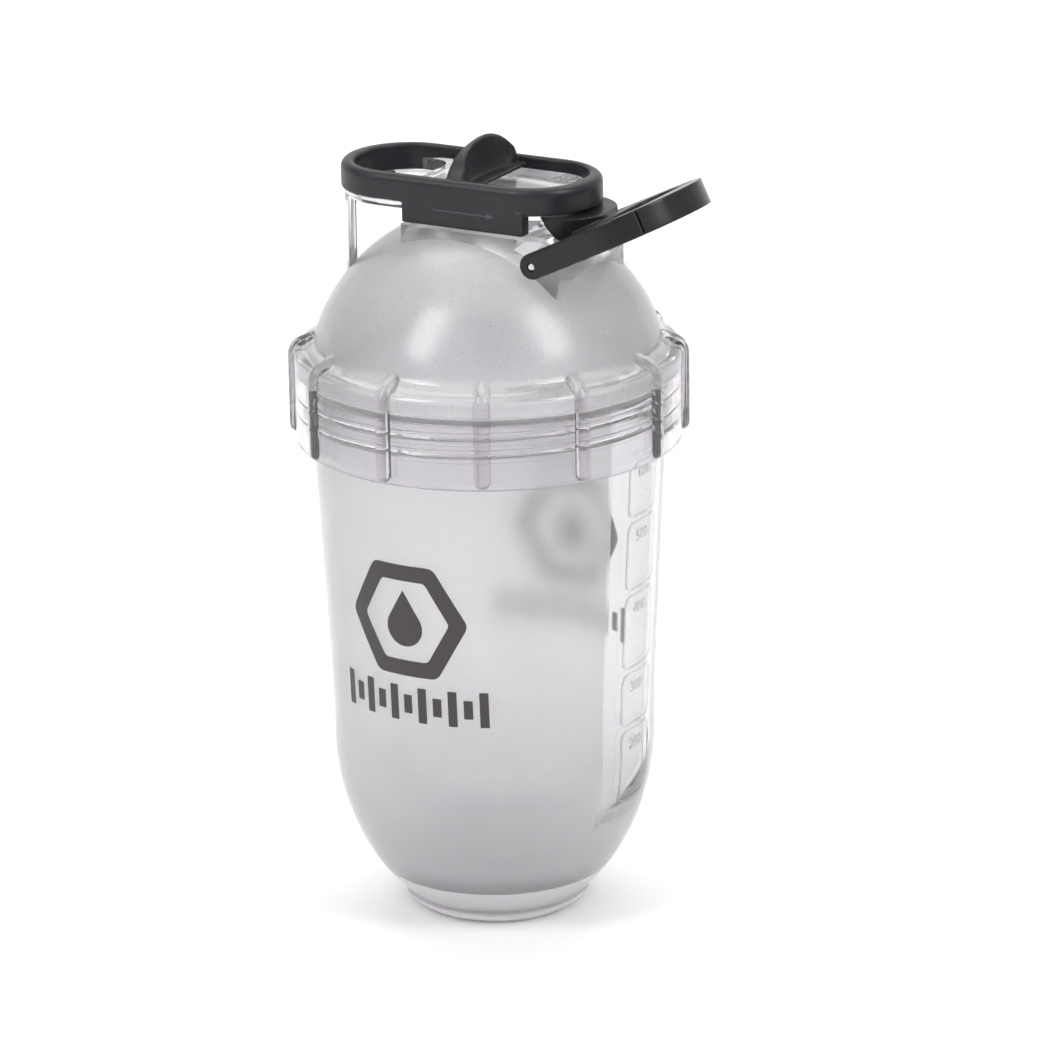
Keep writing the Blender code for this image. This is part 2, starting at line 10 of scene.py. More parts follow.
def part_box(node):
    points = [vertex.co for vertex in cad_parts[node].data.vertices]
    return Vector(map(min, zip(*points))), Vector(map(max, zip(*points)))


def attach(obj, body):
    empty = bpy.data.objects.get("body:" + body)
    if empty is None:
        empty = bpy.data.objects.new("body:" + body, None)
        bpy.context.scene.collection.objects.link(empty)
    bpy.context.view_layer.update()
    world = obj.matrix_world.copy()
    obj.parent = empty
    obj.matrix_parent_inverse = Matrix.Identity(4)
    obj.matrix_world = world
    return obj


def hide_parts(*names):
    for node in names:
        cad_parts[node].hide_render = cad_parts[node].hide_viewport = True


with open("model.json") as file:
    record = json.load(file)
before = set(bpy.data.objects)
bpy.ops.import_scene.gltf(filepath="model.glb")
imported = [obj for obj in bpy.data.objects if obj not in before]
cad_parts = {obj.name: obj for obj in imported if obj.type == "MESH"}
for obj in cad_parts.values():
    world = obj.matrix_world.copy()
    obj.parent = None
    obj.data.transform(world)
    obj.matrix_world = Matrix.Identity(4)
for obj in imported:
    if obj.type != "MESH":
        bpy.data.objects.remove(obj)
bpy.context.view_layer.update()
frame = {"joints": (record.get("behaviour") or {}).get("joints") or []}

MM = 0.001

# Cup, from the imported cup's box and the design's own sizes
CUP_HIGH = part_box("cup_body")[1]
RIM_HEIGHT = CUP_HIGH.z
SEGMENTS = 180
FOOT_RADIUS = 21.3 * MM
FOOT_TOP_RADIUS = 24.9 * MM
FOOT_HEIGHT = 4.0 * MM
BOWL_HEIGHT = 48.5 * MM
BOWL_RADIUS = 42.2 * MM
BOWL_DEPTH = 54.0 * MM
WALL = 2.2 * MM
NECK_BOTTOM = 130.0 * MM
NECK_RADIUS = 45.8 * MM
INNER_BOTTOM = 6.5 * MM
WALL_EASE = 18.0 * MM
WINDOW_HALF_ANGLE = math.radians(17.5)
WINDOW_LOW = 30.0 * MM
BASE_TOP = 12.0 * MM
PRINT_ANGLE = math.radians(-92.0)
PRINT_HEIGHT = 90.5 * MM
SCALE_BOXES = (("600", 113.4, 129.5), ("500", 93.4, 112.2), ("400", 71.6, 92.2), ("300", 55.8, 70.4),
               ("200", 34.5, 54.6))
BOX_HALF = 7.6 * MM

# Thread
THREAD_LEAD = 4.5 * MM
THREAD_TURNS = 2.25
THREAD_START = 132.4 * MM
THREAD_DEPTH = 1.4 * MM
THREAD_ROOT = 1.7 * MM
THREAD_CREST = 0.8 * MM

# Lid
LID_LOW, LID_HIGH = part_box("lid_shell")
COLLAR_BOTTOM = LID_LOW.z
DECK_TOP = LID_HIGH.z
COLLAR_RADIUS = 50.35 * MM
COLLAR_BORE = 47.9 * MM
SHOULDER_BOTTOM = 151.0 * MM
DOME_CENTRE = 141.6 * MM
DOME_RADIUS = 47.3 * MM
DOME_WALL = 2.4 * MM
SEAL_SEAT = 147.1 * MM
RIB_COUNT = 12
RIB_PHASE = math.radians(-3.0)
RIB_RADIUS = 52.0 * MM
RIB_WIDTH = 4.4 * MM
BLOCK_LEFT = -15.2 * MM
BLOCK_RIGHT = 30.6 * MM
BLOCK_HALF = 18.5 * MM
LEDGE_HEIGHT = 187.5 * MM
DECK_HALF = 14.0 * MM
OVERHANG_BOTTOM = 194.0 * MM
FRAME_BOTTOM = 191.0 * MM
FRAME_RIM = 2.0 * MM
LEG_RADIUS = 16.2 * MM
LEG_WALL = 2.2 * MM
LEG_HALF_ANGLE = math.radians(48.0)
GAP = 0.3 * MM
SEAM_STEP = 0.05 * MM
OVERSHOOT = 1.0 * MM

# Slide lock
SLIDE_LOW, SLIDE_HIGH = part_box("slide_lock")
SLIDE_CENTRE = (SLIDE_LOW.x + SLIDE_HIGH.x) / 2.0
SLIDE_HALF_LENGTH = (SLIDE_HIGH.x - SLIDE_LOW.x) / 2.0
SLIDE_HALF_WIDTH = SLIDE_HIGH.y
SLIDE_BOTTOM = 193.0 * MM
SLIDE_TOP = 200.1 * MM
SLIDE_TRAVEL = 5.0 * MM
OPENING_HALF_LENGTH = 31.8 * MM
OPENING_HALF_WIDTH = 14.3 * MM
OPENING_CORNER = 12.8 * MM
SKIRT_RIGHT = 20.0 * MM
FIN_LEFT = -5.0 * MM
FIN_RIGHT = 1.6 * MM
TAB_TOP = SLIDE_HIGH.z

# Flip cap
CAP_HINGE = next(joint for joint in frame["joints"] if joint["name"] == "cap_hinge")
PIVOT = CAP_HINGE["pos_m"]
CAP_SWING = math.radians(54.0)
PIVOT_X, PIVOT_Z = PIVOT[0], PIVOT[2]
CAP_TILT = math.radians(26.0)
FACE_TILT = math.radians(37.7)
FACE_OFFSET = 4.4 * MM
ARM_INNER = 18.8 * MM
ARM_OUTER = 21.5 * MM
ARM_HALF_DEPTH = 3.35 * MM
BOSS_RADIUS = 3.4 * MM
CAP_LENGTH = 39.5 * MM
NOSE_START = 19.5 * MM
FINGER_HOLE_START = 16.5 * MM
FINGER_HOLE_END = 29.5 * MM
PAD_START = 31.6 * MM
COVER_HALF = 12.8 * MM
COVER_TOP = 192.4 * MM
MOUTH_HALF = 9.0 * MM
MOUTH_LOW = 3.6 * MM
MOUTH_HIGH = 9.4 * MM
PIN_RADIUS = 0.9 * MM
PIN_INNER = 12.5 * MM
PIN_OUTER = 21.7 * MM
CUT_HALF = 6.0 * MM

# Camera
VIEW_AZIMUTH = math.radians(29.0)
VIEW_ELEVATION = math.radians(18.4)
VIEW_DISTANCE = 1.425
VIEW_AIM_HEIGHT = 104.6 * MM
VIEW_AIM_SIDE = 7.5 * MM
VIEW_ROLL = math.radians(0.9)
VIEW_LENS = 188.7


# Materials

def new_material(name):
    result = bpy.data.materials.new(name)
    result.use_nodes = True
    return result, result.node_tree.nodes, result.node_tree.links


def noise(nodes, links, scale, detail=3.0, stretch=(1.0, 1.0, 1.0)):
    coordinates = nodes.new("ShaderNodeTexCoord")
    mapping = nodes.new("ShaderNodeMapping")
    mapping.inputs["Scale"].default_value = stretch
    texture = nodes.new("ShaderNodeTexNoise")
    texture.inputs["Scale"].default_value = scale
    texture.inputs["Detail"].default_value = detail
    links.new(coordinates.outputs["Object"], mapping.inputs["Vector"])
    links.new(mapping.outputs["Vector"], texture.inputs["Vector"])
    return texture


def spread(nodes, links, source, low, high):
    """Map a 0..1 value to a range."""
    mapped = nodes.new("ShaderNodeMapRange")
    mapped.inputs["From Min"].default_value = 0.3
    mapped.inputs["From Max"].default_value = 0.7
    mapped.inputs["To Min"].default_value = low
    mapped.inputs["To Max"].default_value = high
    links.new(source, mapped.inputs["Value"])
    return mapped.outputs["Result"]


def bump(nodes, links, shader, height, strength, distance):
    node = nodes.new("ShaderNodeBump")
    node.inputs["Strength"].default_value = strength
    node.inputs["Distance"].default_value = distance
    links.new(height, node.inputs["Height"])
    links.new(node.outputs["Normal"], shader.inputs["Normal"])


def colour_blend(nodes, links, source, first, second):
    ramp = nodes.new("ShaderNodeValToRGB")
    ramp.color_ramp.elements[0].position = 0.35
    ramp.color_ramp.elements[1].position = 0.65
    ramp.color_ramp.elements[0].color = (*first, 1.0)
    ramp.color_ramp.elements[1].color = (*second, 1.0)
    links.new(source, ramp.inputs["Fac"])
    return ramp.outputs["Color"]


def dress(material, colour_noise, colours, gloss_noise, roughness, relief_noise, relief):
    """Link noise textures to colour, roughness and bump."""
    nodes, links = material.node_tree.nodes, material.node_tree.links
    shader = nodes["Principled BSDF"]
    links.new(colour_blend(nodes, links, colour_noise.outputs["Fac"], *colours), shader.inputs["Base Color"])
    links.new(spread(nodes, links, gloss_noise.outputs["Fac"], *roughness), shader.inputs["Roughness"])
    bump(nodes, links, shader, relief_noise.outputs["Fac"], *relief)
    return material


def clear_plastic(name, tint, darker, rough_low, rough_high, haze=0.0):
    """Moulded clear plastic: faint flow lines, uneven gloss and perhaps a little haze."""
    result, nodes, links = new_material(name)
    shader = nodes["Principled BSDF"]
    shader.inputs["Transmission Weight"].default_value = 1.0 - haze
    shader.inputs["IOR"].default_value = 1.5
    flow_lines = noise(nodes, links, 60.0, 2.0, (1.0, 1.0, 0.25))
    scuffs = noise(nodes, links, 900.0, 4.0)
    gloss = (rough_low, rough_high)
    return dress(result, flow_lines, (tint, darker), scuffs, gloss, flow_lines, (0.02, 0.0004))


def frosted_plastic(name, tint, darker, rough_low, rough_high, milk):
    """A spark-eroded face: fine even grain that scatters what passes through; milk is how much is diffuse."""
    result, nodes, links = new_material(name)
    shader = nodes["Principled BSDF"]
    shader.inputs["Transmission Weight"].default_value = 1.0 - milk
    shader.inputs["IOR"].default_value = 1.5
    grain = noise(nodes, links, 2600.0, 3.0)
    clouds = noise(nodes, links, 45.0, 2.0)
    return dress(result, clouds, (tint, darker), grain, (rough_low, rough_high), grain, (0.02, 0.00003))


def cup_frost():
    """The cup's inner frost: milkier towards the thick bottom, and its colour paled there as painted light
    that lifts the shaded floor seen through the bowl.
    """
    result = frosted_plastic("cup_frost", (0.755, 0.75, 0.76), (0.735, 0.73, 0.745), 0.22, 0.27, 0.14)
    nodes, links = result.node_tree.nodes, result.node_tree.links
    shader = nodes["Principled BSDF"]
    coordinates = nodes.new("ShaderNodeTexCoord")
    parts = nodes.new("ShaderNodeSeparateXYZ")
    links.new(coordinates.outputs["Object"], parts.inputs["Vector"])
    clearness = height_ramp(nodes, links, parts.outputs["Z"], 0.28, 0.86)
    links.new(clearness, shader.inputs["Transmission Weight"])
    # Painted light: the frost's colour turns near white towards the bottom to lift the shade of the floor
    # beneath.
    painted_fill_light = height_ramp(nodes, links, parts.outputs["Z"], 1.0, 0.0)
    old = shader.inputs["Base Color"].links[0].from_socket
    mix = nodes.new("ShaderNodeMix")
    mix.data_type = "RGBA"
    links.new(painted_fill_light, mix.inputs["Factor"])
    links.new(old, mix.inputs["A"])
    mix.inputs["B"].default_value = (0.98, 0.965, 0.985, 1.0)
    links.new(mix.outputs["Result"], shader.inputs["Base Color"])
    return result


def height_ramp(nodes, links, height, low, high):
    """A value that changes smoothly between the bowl's bottom and the middle of the wall."""
    ramp = nodes.new("ShaderNodeMapRange")
    ramp.interpolation_type = "SMOOTHSTEP"
    ramp.inputs["From Min"].default_value = 5.0 * MM
    ramp.inputs["From Max"].default_value = 68.0 * MM
    ramp.inputs["To Min"].default_value = low
    ramp.inputs["To Max"].default_value = high
    links.new(height, ramp.inputs["Value"])
    return ramp.outputs["Result"]


def black_plastic(name, base, lighter, rough_low, rough_high, grain_strength):
    """Satin black moulding: fine grain, cloudy gloss and slightly paler handling wear."""
    result, nodes, links = new_material(name)
    shader = nodes["Principled BSDF"]
    shader.inputs["Specular IOR Level"].default_value = 0.36
    grain = noise(nodes, links, 2200.0, 4.0)
    clouds = noise(nodes, links, 120.0, 3.0)
    gloss = (rough_low, rough_high)
    return dress(result, clouds, (base, lighter), clouds, gloss, grain, (grain_strength, 0.00008))


def ink(name, base, lighter):
    """Screen-printed ink: dense, slightly mottled, with a low sheen."""
    result, nodes, links = new_material(name)
    mottle = noise(nodes, links, 1500.0, 4.0)
    return dress(result, mottle, (base, lighter), mottle, (0.38, 0.5), mottle, (0.1, 0.00004))


def silicone(name, base, lighter, translucency):
    result, nodes, links = new_material(name)
    shader = nodes["Principled BSDF"]
    shader.inputs["Transmission Weight"].default_value = translucency
    shader.inputs["IOR"].default_value = 1.41
    clouds = noise(nodes, links, 400.0, 3.0)
    return dress(result, clouds, (base, lighter), clouds, (0.45, 0.6), clouds, (0.15, 0.0001))


def pin_steel(name):
    """Ground steel with fine turning lines on its round ends."""
    result, nodes, links = new_material(name)
    shader = nodes["Principled BSDF"]
    shader.inputs["Metallic"].default_value = 1.0
    lines = noise(nodes, links, 3000.0, 2.0, (1.0, 0.05, 1.0))
    colours = ((0.55, 0.54, 0.53), (0.72, 0.71, 0.7))
    return dress(result, lines, colours, lines, (0.22, 0.34), lines, (0.1, 0.00003))


# Mesh tools

def finish_mesh(name, builder, materials, sharp=32.0):
    bmesh.ops.remove_doubles(builder, verts=builder.verts, dist=1e-7)
    bmesh.ops.recalc_face_normals(builder, faces=builder.faces)
    mesh = bpy.data.meshes.new(name)
    builder.to_mesh(mesh)
    builder.free()
    for item in materials:
        mesh.materials.append(item)
    mesh.shade_smooth()
    mesh.set_sharp_from_angle(angle=math.radians(sharp))
    result = bpy.data.objects.new(name, mesh)
    bpy.context.scene.collection.objects.link(result)
    return result


def bake_modifiers(piece, sharp=32.0):
    """Turn the evaluated shape into the piece's own mesh."""
    graph = bpy.context.evaluated_depsgraph_get()
    graph.update()
    mesh = bpy.data.meshes.new_from_object(piece.evaluated_get(graph))
    old = piece.data
    piece.modifiers.clear()
    piece.data = mesh
    bpy.data.meshes.remove(old)
    mesh.shade_smooth()
    mesh.set_sharp_from_angle(angle=math.radians(sharp))
    return piece


def combine(target, builder, operation):
    """Union or difference with a temporary shape, applied at once."""
    tool = finish_mesh("tool", builder, [])
    modifier = target.modifiers.new("shape", "BOOLEAN")
    modifier.operation = operation
    modifier.solver = "EXACT"
    modifier.object = tool
    bake_modifiers(target)
    mesh = tool.data
    bpy.data.objects.remove(tool)
    bpy.data.meshes.remove(mesh)


def take_shape(piece):
    """Turn a temporary piece back into a loose shape and delete it."""
    builder = bmesh.new()
    builder.from_mesh(piece.data)
    bpy.data.objects.remove(piece)
    return builder


def arc(centre, radius, start, end, steps):
    points = []
    for index in range(steps + 1):
        angle = start + (end - start) * index / steps
        points.append((centre[0] + radius * math.cos(angle), centre[1] + radius * math.sin(angle)))
    return points


def lathe(profile, segments=SEGMENTS):
    """Turn a closed (radius, height) outline about Z; outline points at radius 0 close on the axis."""
    builder = bmesh.new()
    rings = []
    for radius, height in profile:
        if radius < 1e-9:
            rings.append([builder.verts.new((0.0, 0.0, height))] * segments)
            continue
        ring = []
        for index in range(segments):
            angle = 2.0 * math.pi * index / segments
            ring.append(builder.verts.new((radius * math.cos(angle), radius * math.sin(angle), height)))
        rings.append(ring)
    for first, second in zip(rings, rings[1:] + rings[:1]):
        join_rings(builder, first, second)
    return builder


def join_rings(builder, first, second):
    """Faces between two rings; repeated points at a pole give triangles."""
    for index in range(len(first)):
        following = (index + 1) % len(first)
        corners = [first[index], first[following], second[following], second[index]]
        distinct = list(dict.fromkeys(corners))
        if len(distinct) > 2:
            builder.faces.new(distinct)


def loft(sections):
    """A closed solid through rings of points, with flat ends."""
    builder = bmesh.new()
    rings = [[builder.verts.new(point) for point in section] for section in sections]
    for first, second in zip(rings, rings[1:]):
        join_rings(builder, first, second)
    builder.faces.new(rings[0])
    builder.faces.new(rings[-1])
    return builder


def prism(outline, low, high, place=Matrix.Identity(4)):
    builder = bmesh.new()
    lower = [builder.verts.new(place @ Vector((x, y, low))) for x, y in outline]
    upper = [builder.verts.new(place @ Vector((x, y, high))) for x, y in outline]
    builder.faces.new(lower)
    builder.faces.new(upper)
    count = len(outline)
    for index in range(count):
        following = (index + 1) % count
        builder.faces.new((lower[index], lower[following], upper[following], upper[index]))
    return builder


SIDE_VIEW = Matrix(((1, 0, 0, 0), (0, 0, -1, 0), (0, 1, 0, 0), (0, 0, 0, 1)))
FRONT_VIEW = Matrix(((0, 0, 1, 0), (1, 0, 0, 0), (0, 1, 0, 0), (0, 0, 0, 1)))


def side_prism(outline, half_width, centre=0.0):
    return prism(outline, -centre - half_width, -centre + half_width, SIDE_VIEW)


def box(x_range, y_range, z_range):
    corners = [(x_range[0], y_range[0]), (x_range[1], y_range[0])]
    corners += [(x_range[1], y_range[1]), (x_range[0], y_range[1])]
    return prism(corners, z_range[0], z_range[1])


def rounded_rectangle(centre_x, half_length, half_width, corner, steps=16):
    points = []
    for quarter in range(4):
        middle = math.radians(45.0 + 90.0 * quarter)
        x = centre_x + math.copysign(half_length - corner, math.cos(middle))
        y = math.copysign(half_width - corner, math.sin(middle))
        quarter_start = math.radians(90.0 * quarter)
        points += arc((x, y), corner, quarter_start, quarter_start + math.pi / 2.0, steps)
    return points


def thread(side_radius, crest_radius, start_height):
    """A rounded helical ridge that fades in and out at its ends, its root sunk into the wall."""
    steps = round(SEGMENTS * THREAD_TURNS)
    root_radius = side_radius - math.copysign(0.6 * MM, crest_radius - side_radius)
    fade_steps = SEGMENTS / 15.0
    section = [(0.0, -1.0, True), (0.75, -1.0, False), (1.0, -0.55, False)]
    section += [(1.0, 0.55, False), (0.75, 1.0, False), (0.0, 1.0, True)]
    slices = []
    for index in range(steps + 1):
        angle = 2.0 * math.pi * index / SEGMENTS
        height = start_height + THREAD_LEAD * index / SEGMENTS
        fade = max(0.05, min(1.0, index / fade_steps, (steps - index) / fade_steps))
        ring = []
        for rise, side, at_root in section:
            radius = root_radius if at_root else side_radius + (crest_radius - side_radius) * fade * rise
            half = THREAD_ROOT / 2.0 if at_root else THREAD_CREST / 2.0 + 0.25 * MM
            z = height + side * half
            ring.append((radius * math.cos(angle), radius * math.sin(angle), z))
        slices.append(ring)
    return loft(slices)


def domed_end(end, direction, reach, turns):
    """Stations of a tube's end: centre, direction and size, outwards if reach is positive."""
    return [(end + direction * reach * math.sin(turn), direction, math.cos(turn)) for turn in turns]


def tube(path, half_width, half_depth, sides=16):
    """A closed rounded bar along (radius, height) points in the XZ plane, with domed ends."""
    points = [Vector((x, 0.0, z)) for x, z in path]
    first_direction = (points[1] - points[0]).normalized()
    last_direction = (points[-1] - points[-2]).normalized()
    turns = [math.pi / 8.0 * step for step in range(1, 5)]
    stations = domed_end(points[0], first_direction, -half_width, reversed(turns))
    for index, point in enumerate(points):
        before = points[max(index - 1, 0)]
        after = points[min(index + 1, len(points) - 1)]
        stations.append((point, (after - before).normalized(), 1.0))
    stations += domed_end(points[-1], last_direction, half_width, turns)
    across = Vector((0.0, 1.0, 0.0))
    builder = bmesh.new()
    rings = []
    for centre, direction, size in stations:
        if size < 1e-6:
            rings.append([builder.verts.new(centre)] * sides)
            continue
        outward = across.cross(direction)
        ring = []
        for side in range(sides):
            angle = 2.0 * math.pi * side / sides
            offset = across * half_width * math.cos(angle) + outward * half_depth * math.sin(angle)
            ring.append(builder.verts.new(centre + offset * size))
        rings.append(ring)
    for first, second in zip(rings, rings[1:]):
        join_rings(builder, first, second)
    return builder


def merge(builders, places=()):
    """Several shapes in one mesh, each moved to its place if places are given."""
    result = bmesh.new()
    for builder, place in zip(builders, places or [Matrix.Identity(4)] * len(builders)):
        mesh = bpy.data.meshes.new("temporary")
        builder.to_mesh(mesh)
        builder.free()
        mesh.transform(place)
        result.from_mesh(mesh)
        bpy.data.meshes.remove(mesh)
    return result


def soft_prism(outline_at, low, high, low_radius, high_radius, steps=8):
    """A prism with rounded rims; outline_at(inset) gives the plan moved in by a distance."""
    turns = [math.pi / 2.0 * index / steps for index in range(steps + 1)]
    levels = [(low_radius * (1.0 - math.sin(turn)), low + low_radius * (1.0 - math.cos(turn)))
              for turn in turns]
    levels += [(high_radius * (1.0 - math.cos(turn)), high - high_radius * (1.0 - math.sin(turn)))
               for turn in turns]
    return loft([[(x, y, height) for x, y in outline_at(inset)] for inset, height in levels])


def flat_shape(outlines):
    """Closed outlines filled as one flat shape; an outline inside another is a hole."""
    curve = bpy.data.curves.new("shape", "CURVE")
    curve.dimensions = "2D"
    curve.fill_mode = "BOTH"
    for outline in outlines:
        spline = curve.splines.new("POLY")
        spline.points.add(len(outline) - 1)
        for point, (x, y) in zip(spline.points, outline):
            point.co = (x, y, 0.0, 1.0)
        spline.use_cyclic_u = True
    return curve_to_builder(curve)


def number_shape(text, height, x, y):
    """A flat number with its lower left corner at x, y."""
    curve = bpy.data.curves.new("number", "FONT")
    curve.body = text
    curve.size = height * 1.4
    curve.resolution_u = 3
    builder = curve_to_builder(curve)
    bmesh.ops.translate(builder, verts=builder.verts, vec=(x, y, 0.0))
    return builder


def curve_to_builder(curve):
    holder = bpy.data.objects.new("shape", curve)
    bpy.context.scene.collection.objects.link(holder)
    graph = bpy.context.evaluated_depsgraph_get()
    graph.update()
    mesh = bpy.data.meshes.new_from_object(holder.evaluated_get(graph))
    builder = bmesh.new()
    builder.from_mesh(mesh)
    flat = [face for face in builder.faces if abs(face.normal.z) < 0.5]
    bmesh.ops.delete(builder, geom=flat, context="FACES")
    bmesh.ops.remove_doubles(builder, verts=builder.verts, dist=1e-7)
    bpy.data.objects.remove(holder)
    bpy.data.meshes.remove(mesh)
    bpy.data.curves.remove(curve)
    return builder


def thicken(builder, low, high):
    """Give a flat shape a thickness along Z."""
    bmesh.ops.translate(builder, verts=builder.verts, vec=(0.0, 0.0, low))
    result = bmesh.ops.extrude_face_region(builder, geom=builder.faces[:])
    top = [item for item in result["geom"] if isinstance(item, bmesh.types.BMVert)]
    bmesh.ops.translate(builder, verts=top, vec=(0.0, 0.0, high - low))
    bmesh.ops.recalc_face_normals(builder, faces=builder.faces)


def slice_across(builder, half_width, step):
    """Cut a shape every step along X so that it can bend."""
    count = round(half_width / step)
    for index in range(-count, count + 1):
        geometry = builder.verts[:] + builder.edges[:] + builder.faces[:]
        bmesh.ops.bisect_plane(builder, geom=geometry, dist=1e-8, plane_co=(index * step, 0.0, 0.0),
                               plane_no=(1.0, 0.0, 0.0))


def wrap_on_cup(builder, facing):
    """Bend a shape drawn as (across, height, outwards) round the cup's wall at an angle about Z."""
    for vertex in builder.verts:
        across, height, outwards = vertex.co
        radius = wall_radius(height)
        angle = facing + across / radius
        radius += outwards
        vertex.co = (radius * math.cos(angle), radius * math.sin(angle), height)


def soften(piece, voxel, rounds):
    """Round every edge of a moulded part by a fine remesh and a little smoothing."""
    remesh = piece.modifiers.new("remesh", "REMESH")
    remesh.mode = "VOXEL"
    remesh.voxel_size = voxel
    remesh.use_smooth_shade = True
    smooth = piece.modifiers.new("smooth", "SMOOTH")
    smooth.factor = 0.5
    smooth.iterations = rounds
    return bake_modifiers(piece, 180.0)


# Cup

def bowl_line(radius, depth, start, end, steps=40):
    """Points of the bowl's elliptical line between two angles."""
    turns = [start + (end - start) * index / steps for index in range(steps + 1)]
    return [(radius * math.cos(turn), BOWL_HEIGHT + depth * math.sin(turn)) for turn in turns]


def cup_outline():
    outline = [(0.0, 0.0), (FOOT_RADIUS - 0.6 * MM, 0.0)]
    outline += arc((FOOT_RADIUS - 0.6 * MM, 0.9 * MM), 0.9 * MM, -math.pi / 2.0, -math.pi / 6.0, 5)[1:]
    outline += [(FOOT_TOP_RADIUS - 1.1 * MM, 1.9 * MM), (FOOT_TOP_RADIUS - 0.5 * MM, 2.8 * MM)]
    outline += [(FOOT_TOP_RADIUS - 0.25 * MM, 3.5 * MM)]
    outline += bowl_line(BOWL_RADIUS, BOWL_DEPTH, -math.asin((BOWL_HEIGHT - FOOT_HEIGHT) / BOWL_DEPTH), 0.0)
    levels = [BOWL_HEIGHT + (NECK_BOTTOM - BOWL_HEIGHT) * index / 24.0 for index in range(25)]
    outline += [(wall_radius(height), height) for height in levels[1:]]
    outline += [(NECK_RADIUS, RIM_HEIGHT - 0.8 * MM)]
    middle = NECK_RADIUS - WALL / 2.0
    outline += arc((middle, RIM_HEIGHT - WALL / 2.0), WALL / 2.0, math.radians(15.0), math.radians(165.0), 8)
    outline += [(wall_radius(height) - WALL, height) for height in reversed(levels[1:])]
    outline += bowl_line(BOWL_RADIUS - WALL, BOWL_HEIGHT - INNER_BOTTOM, 0.0, -math.pi / 2.0)
    outline[-1] = (0.0, INNER_BOTTOM)
    return outline


def wall_radius(height):
    """The cup's outer radius at a height on its bowl or on its wall, which eases into its taper."""
    if height >= BOWL_HEIGHT:
        above = min(height, NECK_BOTTOM) - BOWL_HEIGHT
        run = above * above / (2.0 * WALL_EASE) if above < WALL_EASE else above - WALL_EASE / 2.0
        share = run / (NECK_BOTTOM - BOWL_HEIGHT - WALL_EASE / 2.0)
        return BOWL_RADIUS + (NECK_RADIUS - BOWL_RADIUS) * share
    sine = (BOWL_HEIGHT - height) / BOWL_DEPTH
    return BOWL_RADIUS * math.sqrt(max(0.0, 1.0 - sine * sine))


def paint_cup(mesh):
    """Slot 0 is the satin outside, 1 the frosted inside, 2 the clear window strip, which runs on up the neck,
    3 the base.
    """
    for face in mesh.polygons:
        centre = face.center
        radius = math.hypot(centre.x, centre.y)
        angle = math.atan2(centre.y, centre.x)
        window = abs(angle) < WINDOW_HALF_ANGLE and centre.z > WINDOW_LOW
        inside = centre.z > INNER_BOTTOM * 0.95 and radius < wall_radius(max(centre.z, 8.0 * MM)) - WALL * 0.6
        if window:
            face.material_index = 2
        elif inside:
            face.material_index = 1
        else:
            face.material_index = 3 if centre.z < BASE_TOP else 0


def make_scale():
    """Raised rounded frames with a number in each, up the window strip."""
    shapes = []
    line = 0.55 * MM
    for number, low, high in SCALE_BOXES:
        low, high = low * MM, high * MM
        inner = rounded_box(BOX_HALF - line, low + line, high - line, 2.1 * MM)
        shapes.append(flat_shape([rounded_box(BOX_HALF, low, high, 2.6 * MM), inner]))
        shapes.append(number_shape(number, 3.0 * MM, -3.6 * MM, high - 5.6 * MM))
    result = merge(shapes)
    slice_across(result, BOX_HALF + 1.0 * MM, 1.2 * MM)
    thicken(result, -0.03 * MM, 0.22 * MM)
    wrap_on_cup(result, 0.0)
    finish = clear_plastic("scale_clear", (0.9, 0.89, 0.91), (0.87, 0.86, 0.88), 0.06, 0.12)
    marks = finish_mesh("cup_scale", result, [finish])
    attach(marks, "cup")


def rounded_box(half_width, low, high, corner):
    middle = (low + high) / 2.0
    half_height = (high - low) / 2.0
    return [(x, y + middle) for x, y in rounded_rectangle(0.0, half_width, half_height, corner, 6)]


def make_cup():
    materials = [clear_plastic("cup_satin", (0.93, 0.925, 0.935), (0.915, 0.905, 0.92), 0.17, 0.22, 0.04),
                 cup_frost(),
                 clear_plastic("cup_clear", (0.95, 0.945, 0.955), (0.93, 0.925, 0.94), 0.02, 0.05),
                 # The base's near-white colour is partly its own light mauve and partly painted light that
                 # lifts the shaded floor seen through the foot.
                 frosted_plastic("cup_base", (0.97, 0.945, 0.98), (0.95, 0.925, 0.96), 0.13, 0.18, 0.5)]
    cup = finish_mesh("cup", lathe(cup_outline()), materials)
    combine(cup, thread(NECK_RADIUS, NECK_RADIUS + THREAD_DEPTH, THREAD_START), "UNION")
    paint_cup(cup.data)
    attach(cup, "cup")
    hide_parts("cup_body")


def drop_outline(y, radius, tip):
    """A water drop: a round belly with a pointed top."""
    half_point = math.acos(radius / tip)
    start = math.pi / 2.0 + half_point
    return arc((0.0, y), radius, start, start + 2.0 * (math.pi - half_point), 40) + [(0.0, y + tip)]


def hexagon(radius, corner):
    """A flat-topped hexagon with rounded corners, at the print's height."""
    points = []
    for index in range(6):
        middle = math.radians(60.0 * index)
        reach = radius - corner / math.cos(math.radians(30.0))
        centre = (reach * math.cos(middle), PRINT_HEIGHT + reach * math.sin(middle))
        points += arc(centre, corner, middle - math.radians(30.0), middle + math.radians(30.0), 8)
    return points


def emblem():
    """A generic mark: a hexagon ring round a drop, over a row of plain bars."""
    ring = flat_shape([hexagon(17.6 * MM, 3.0 * MM), hexagon(12.6 * MM, 1.8 * MM)])
    drop = flat_shape([drop_outline(PRINT_HEIGHT - 1.9 * MM, 5.2 * MM, 10.2 * MM)])
    shapes = [ring, drop]
    for index in range(11):
        x = (index - 5) * 4.15 * MM
        low = 62.6 * MM if index % 2 == 0 else 64.9 * MM
        high = 72.3 * MM if index % 2 == 0 else 70.0 * MM
        bar = [(x - 1.2 * MM, low), (x + 1.2 * MM, low), (x + 1.2 * MM, high), (x - 1.2 * MM, high)]
        shapes.append(flat_shape([bar]))
    return merge(shapes)


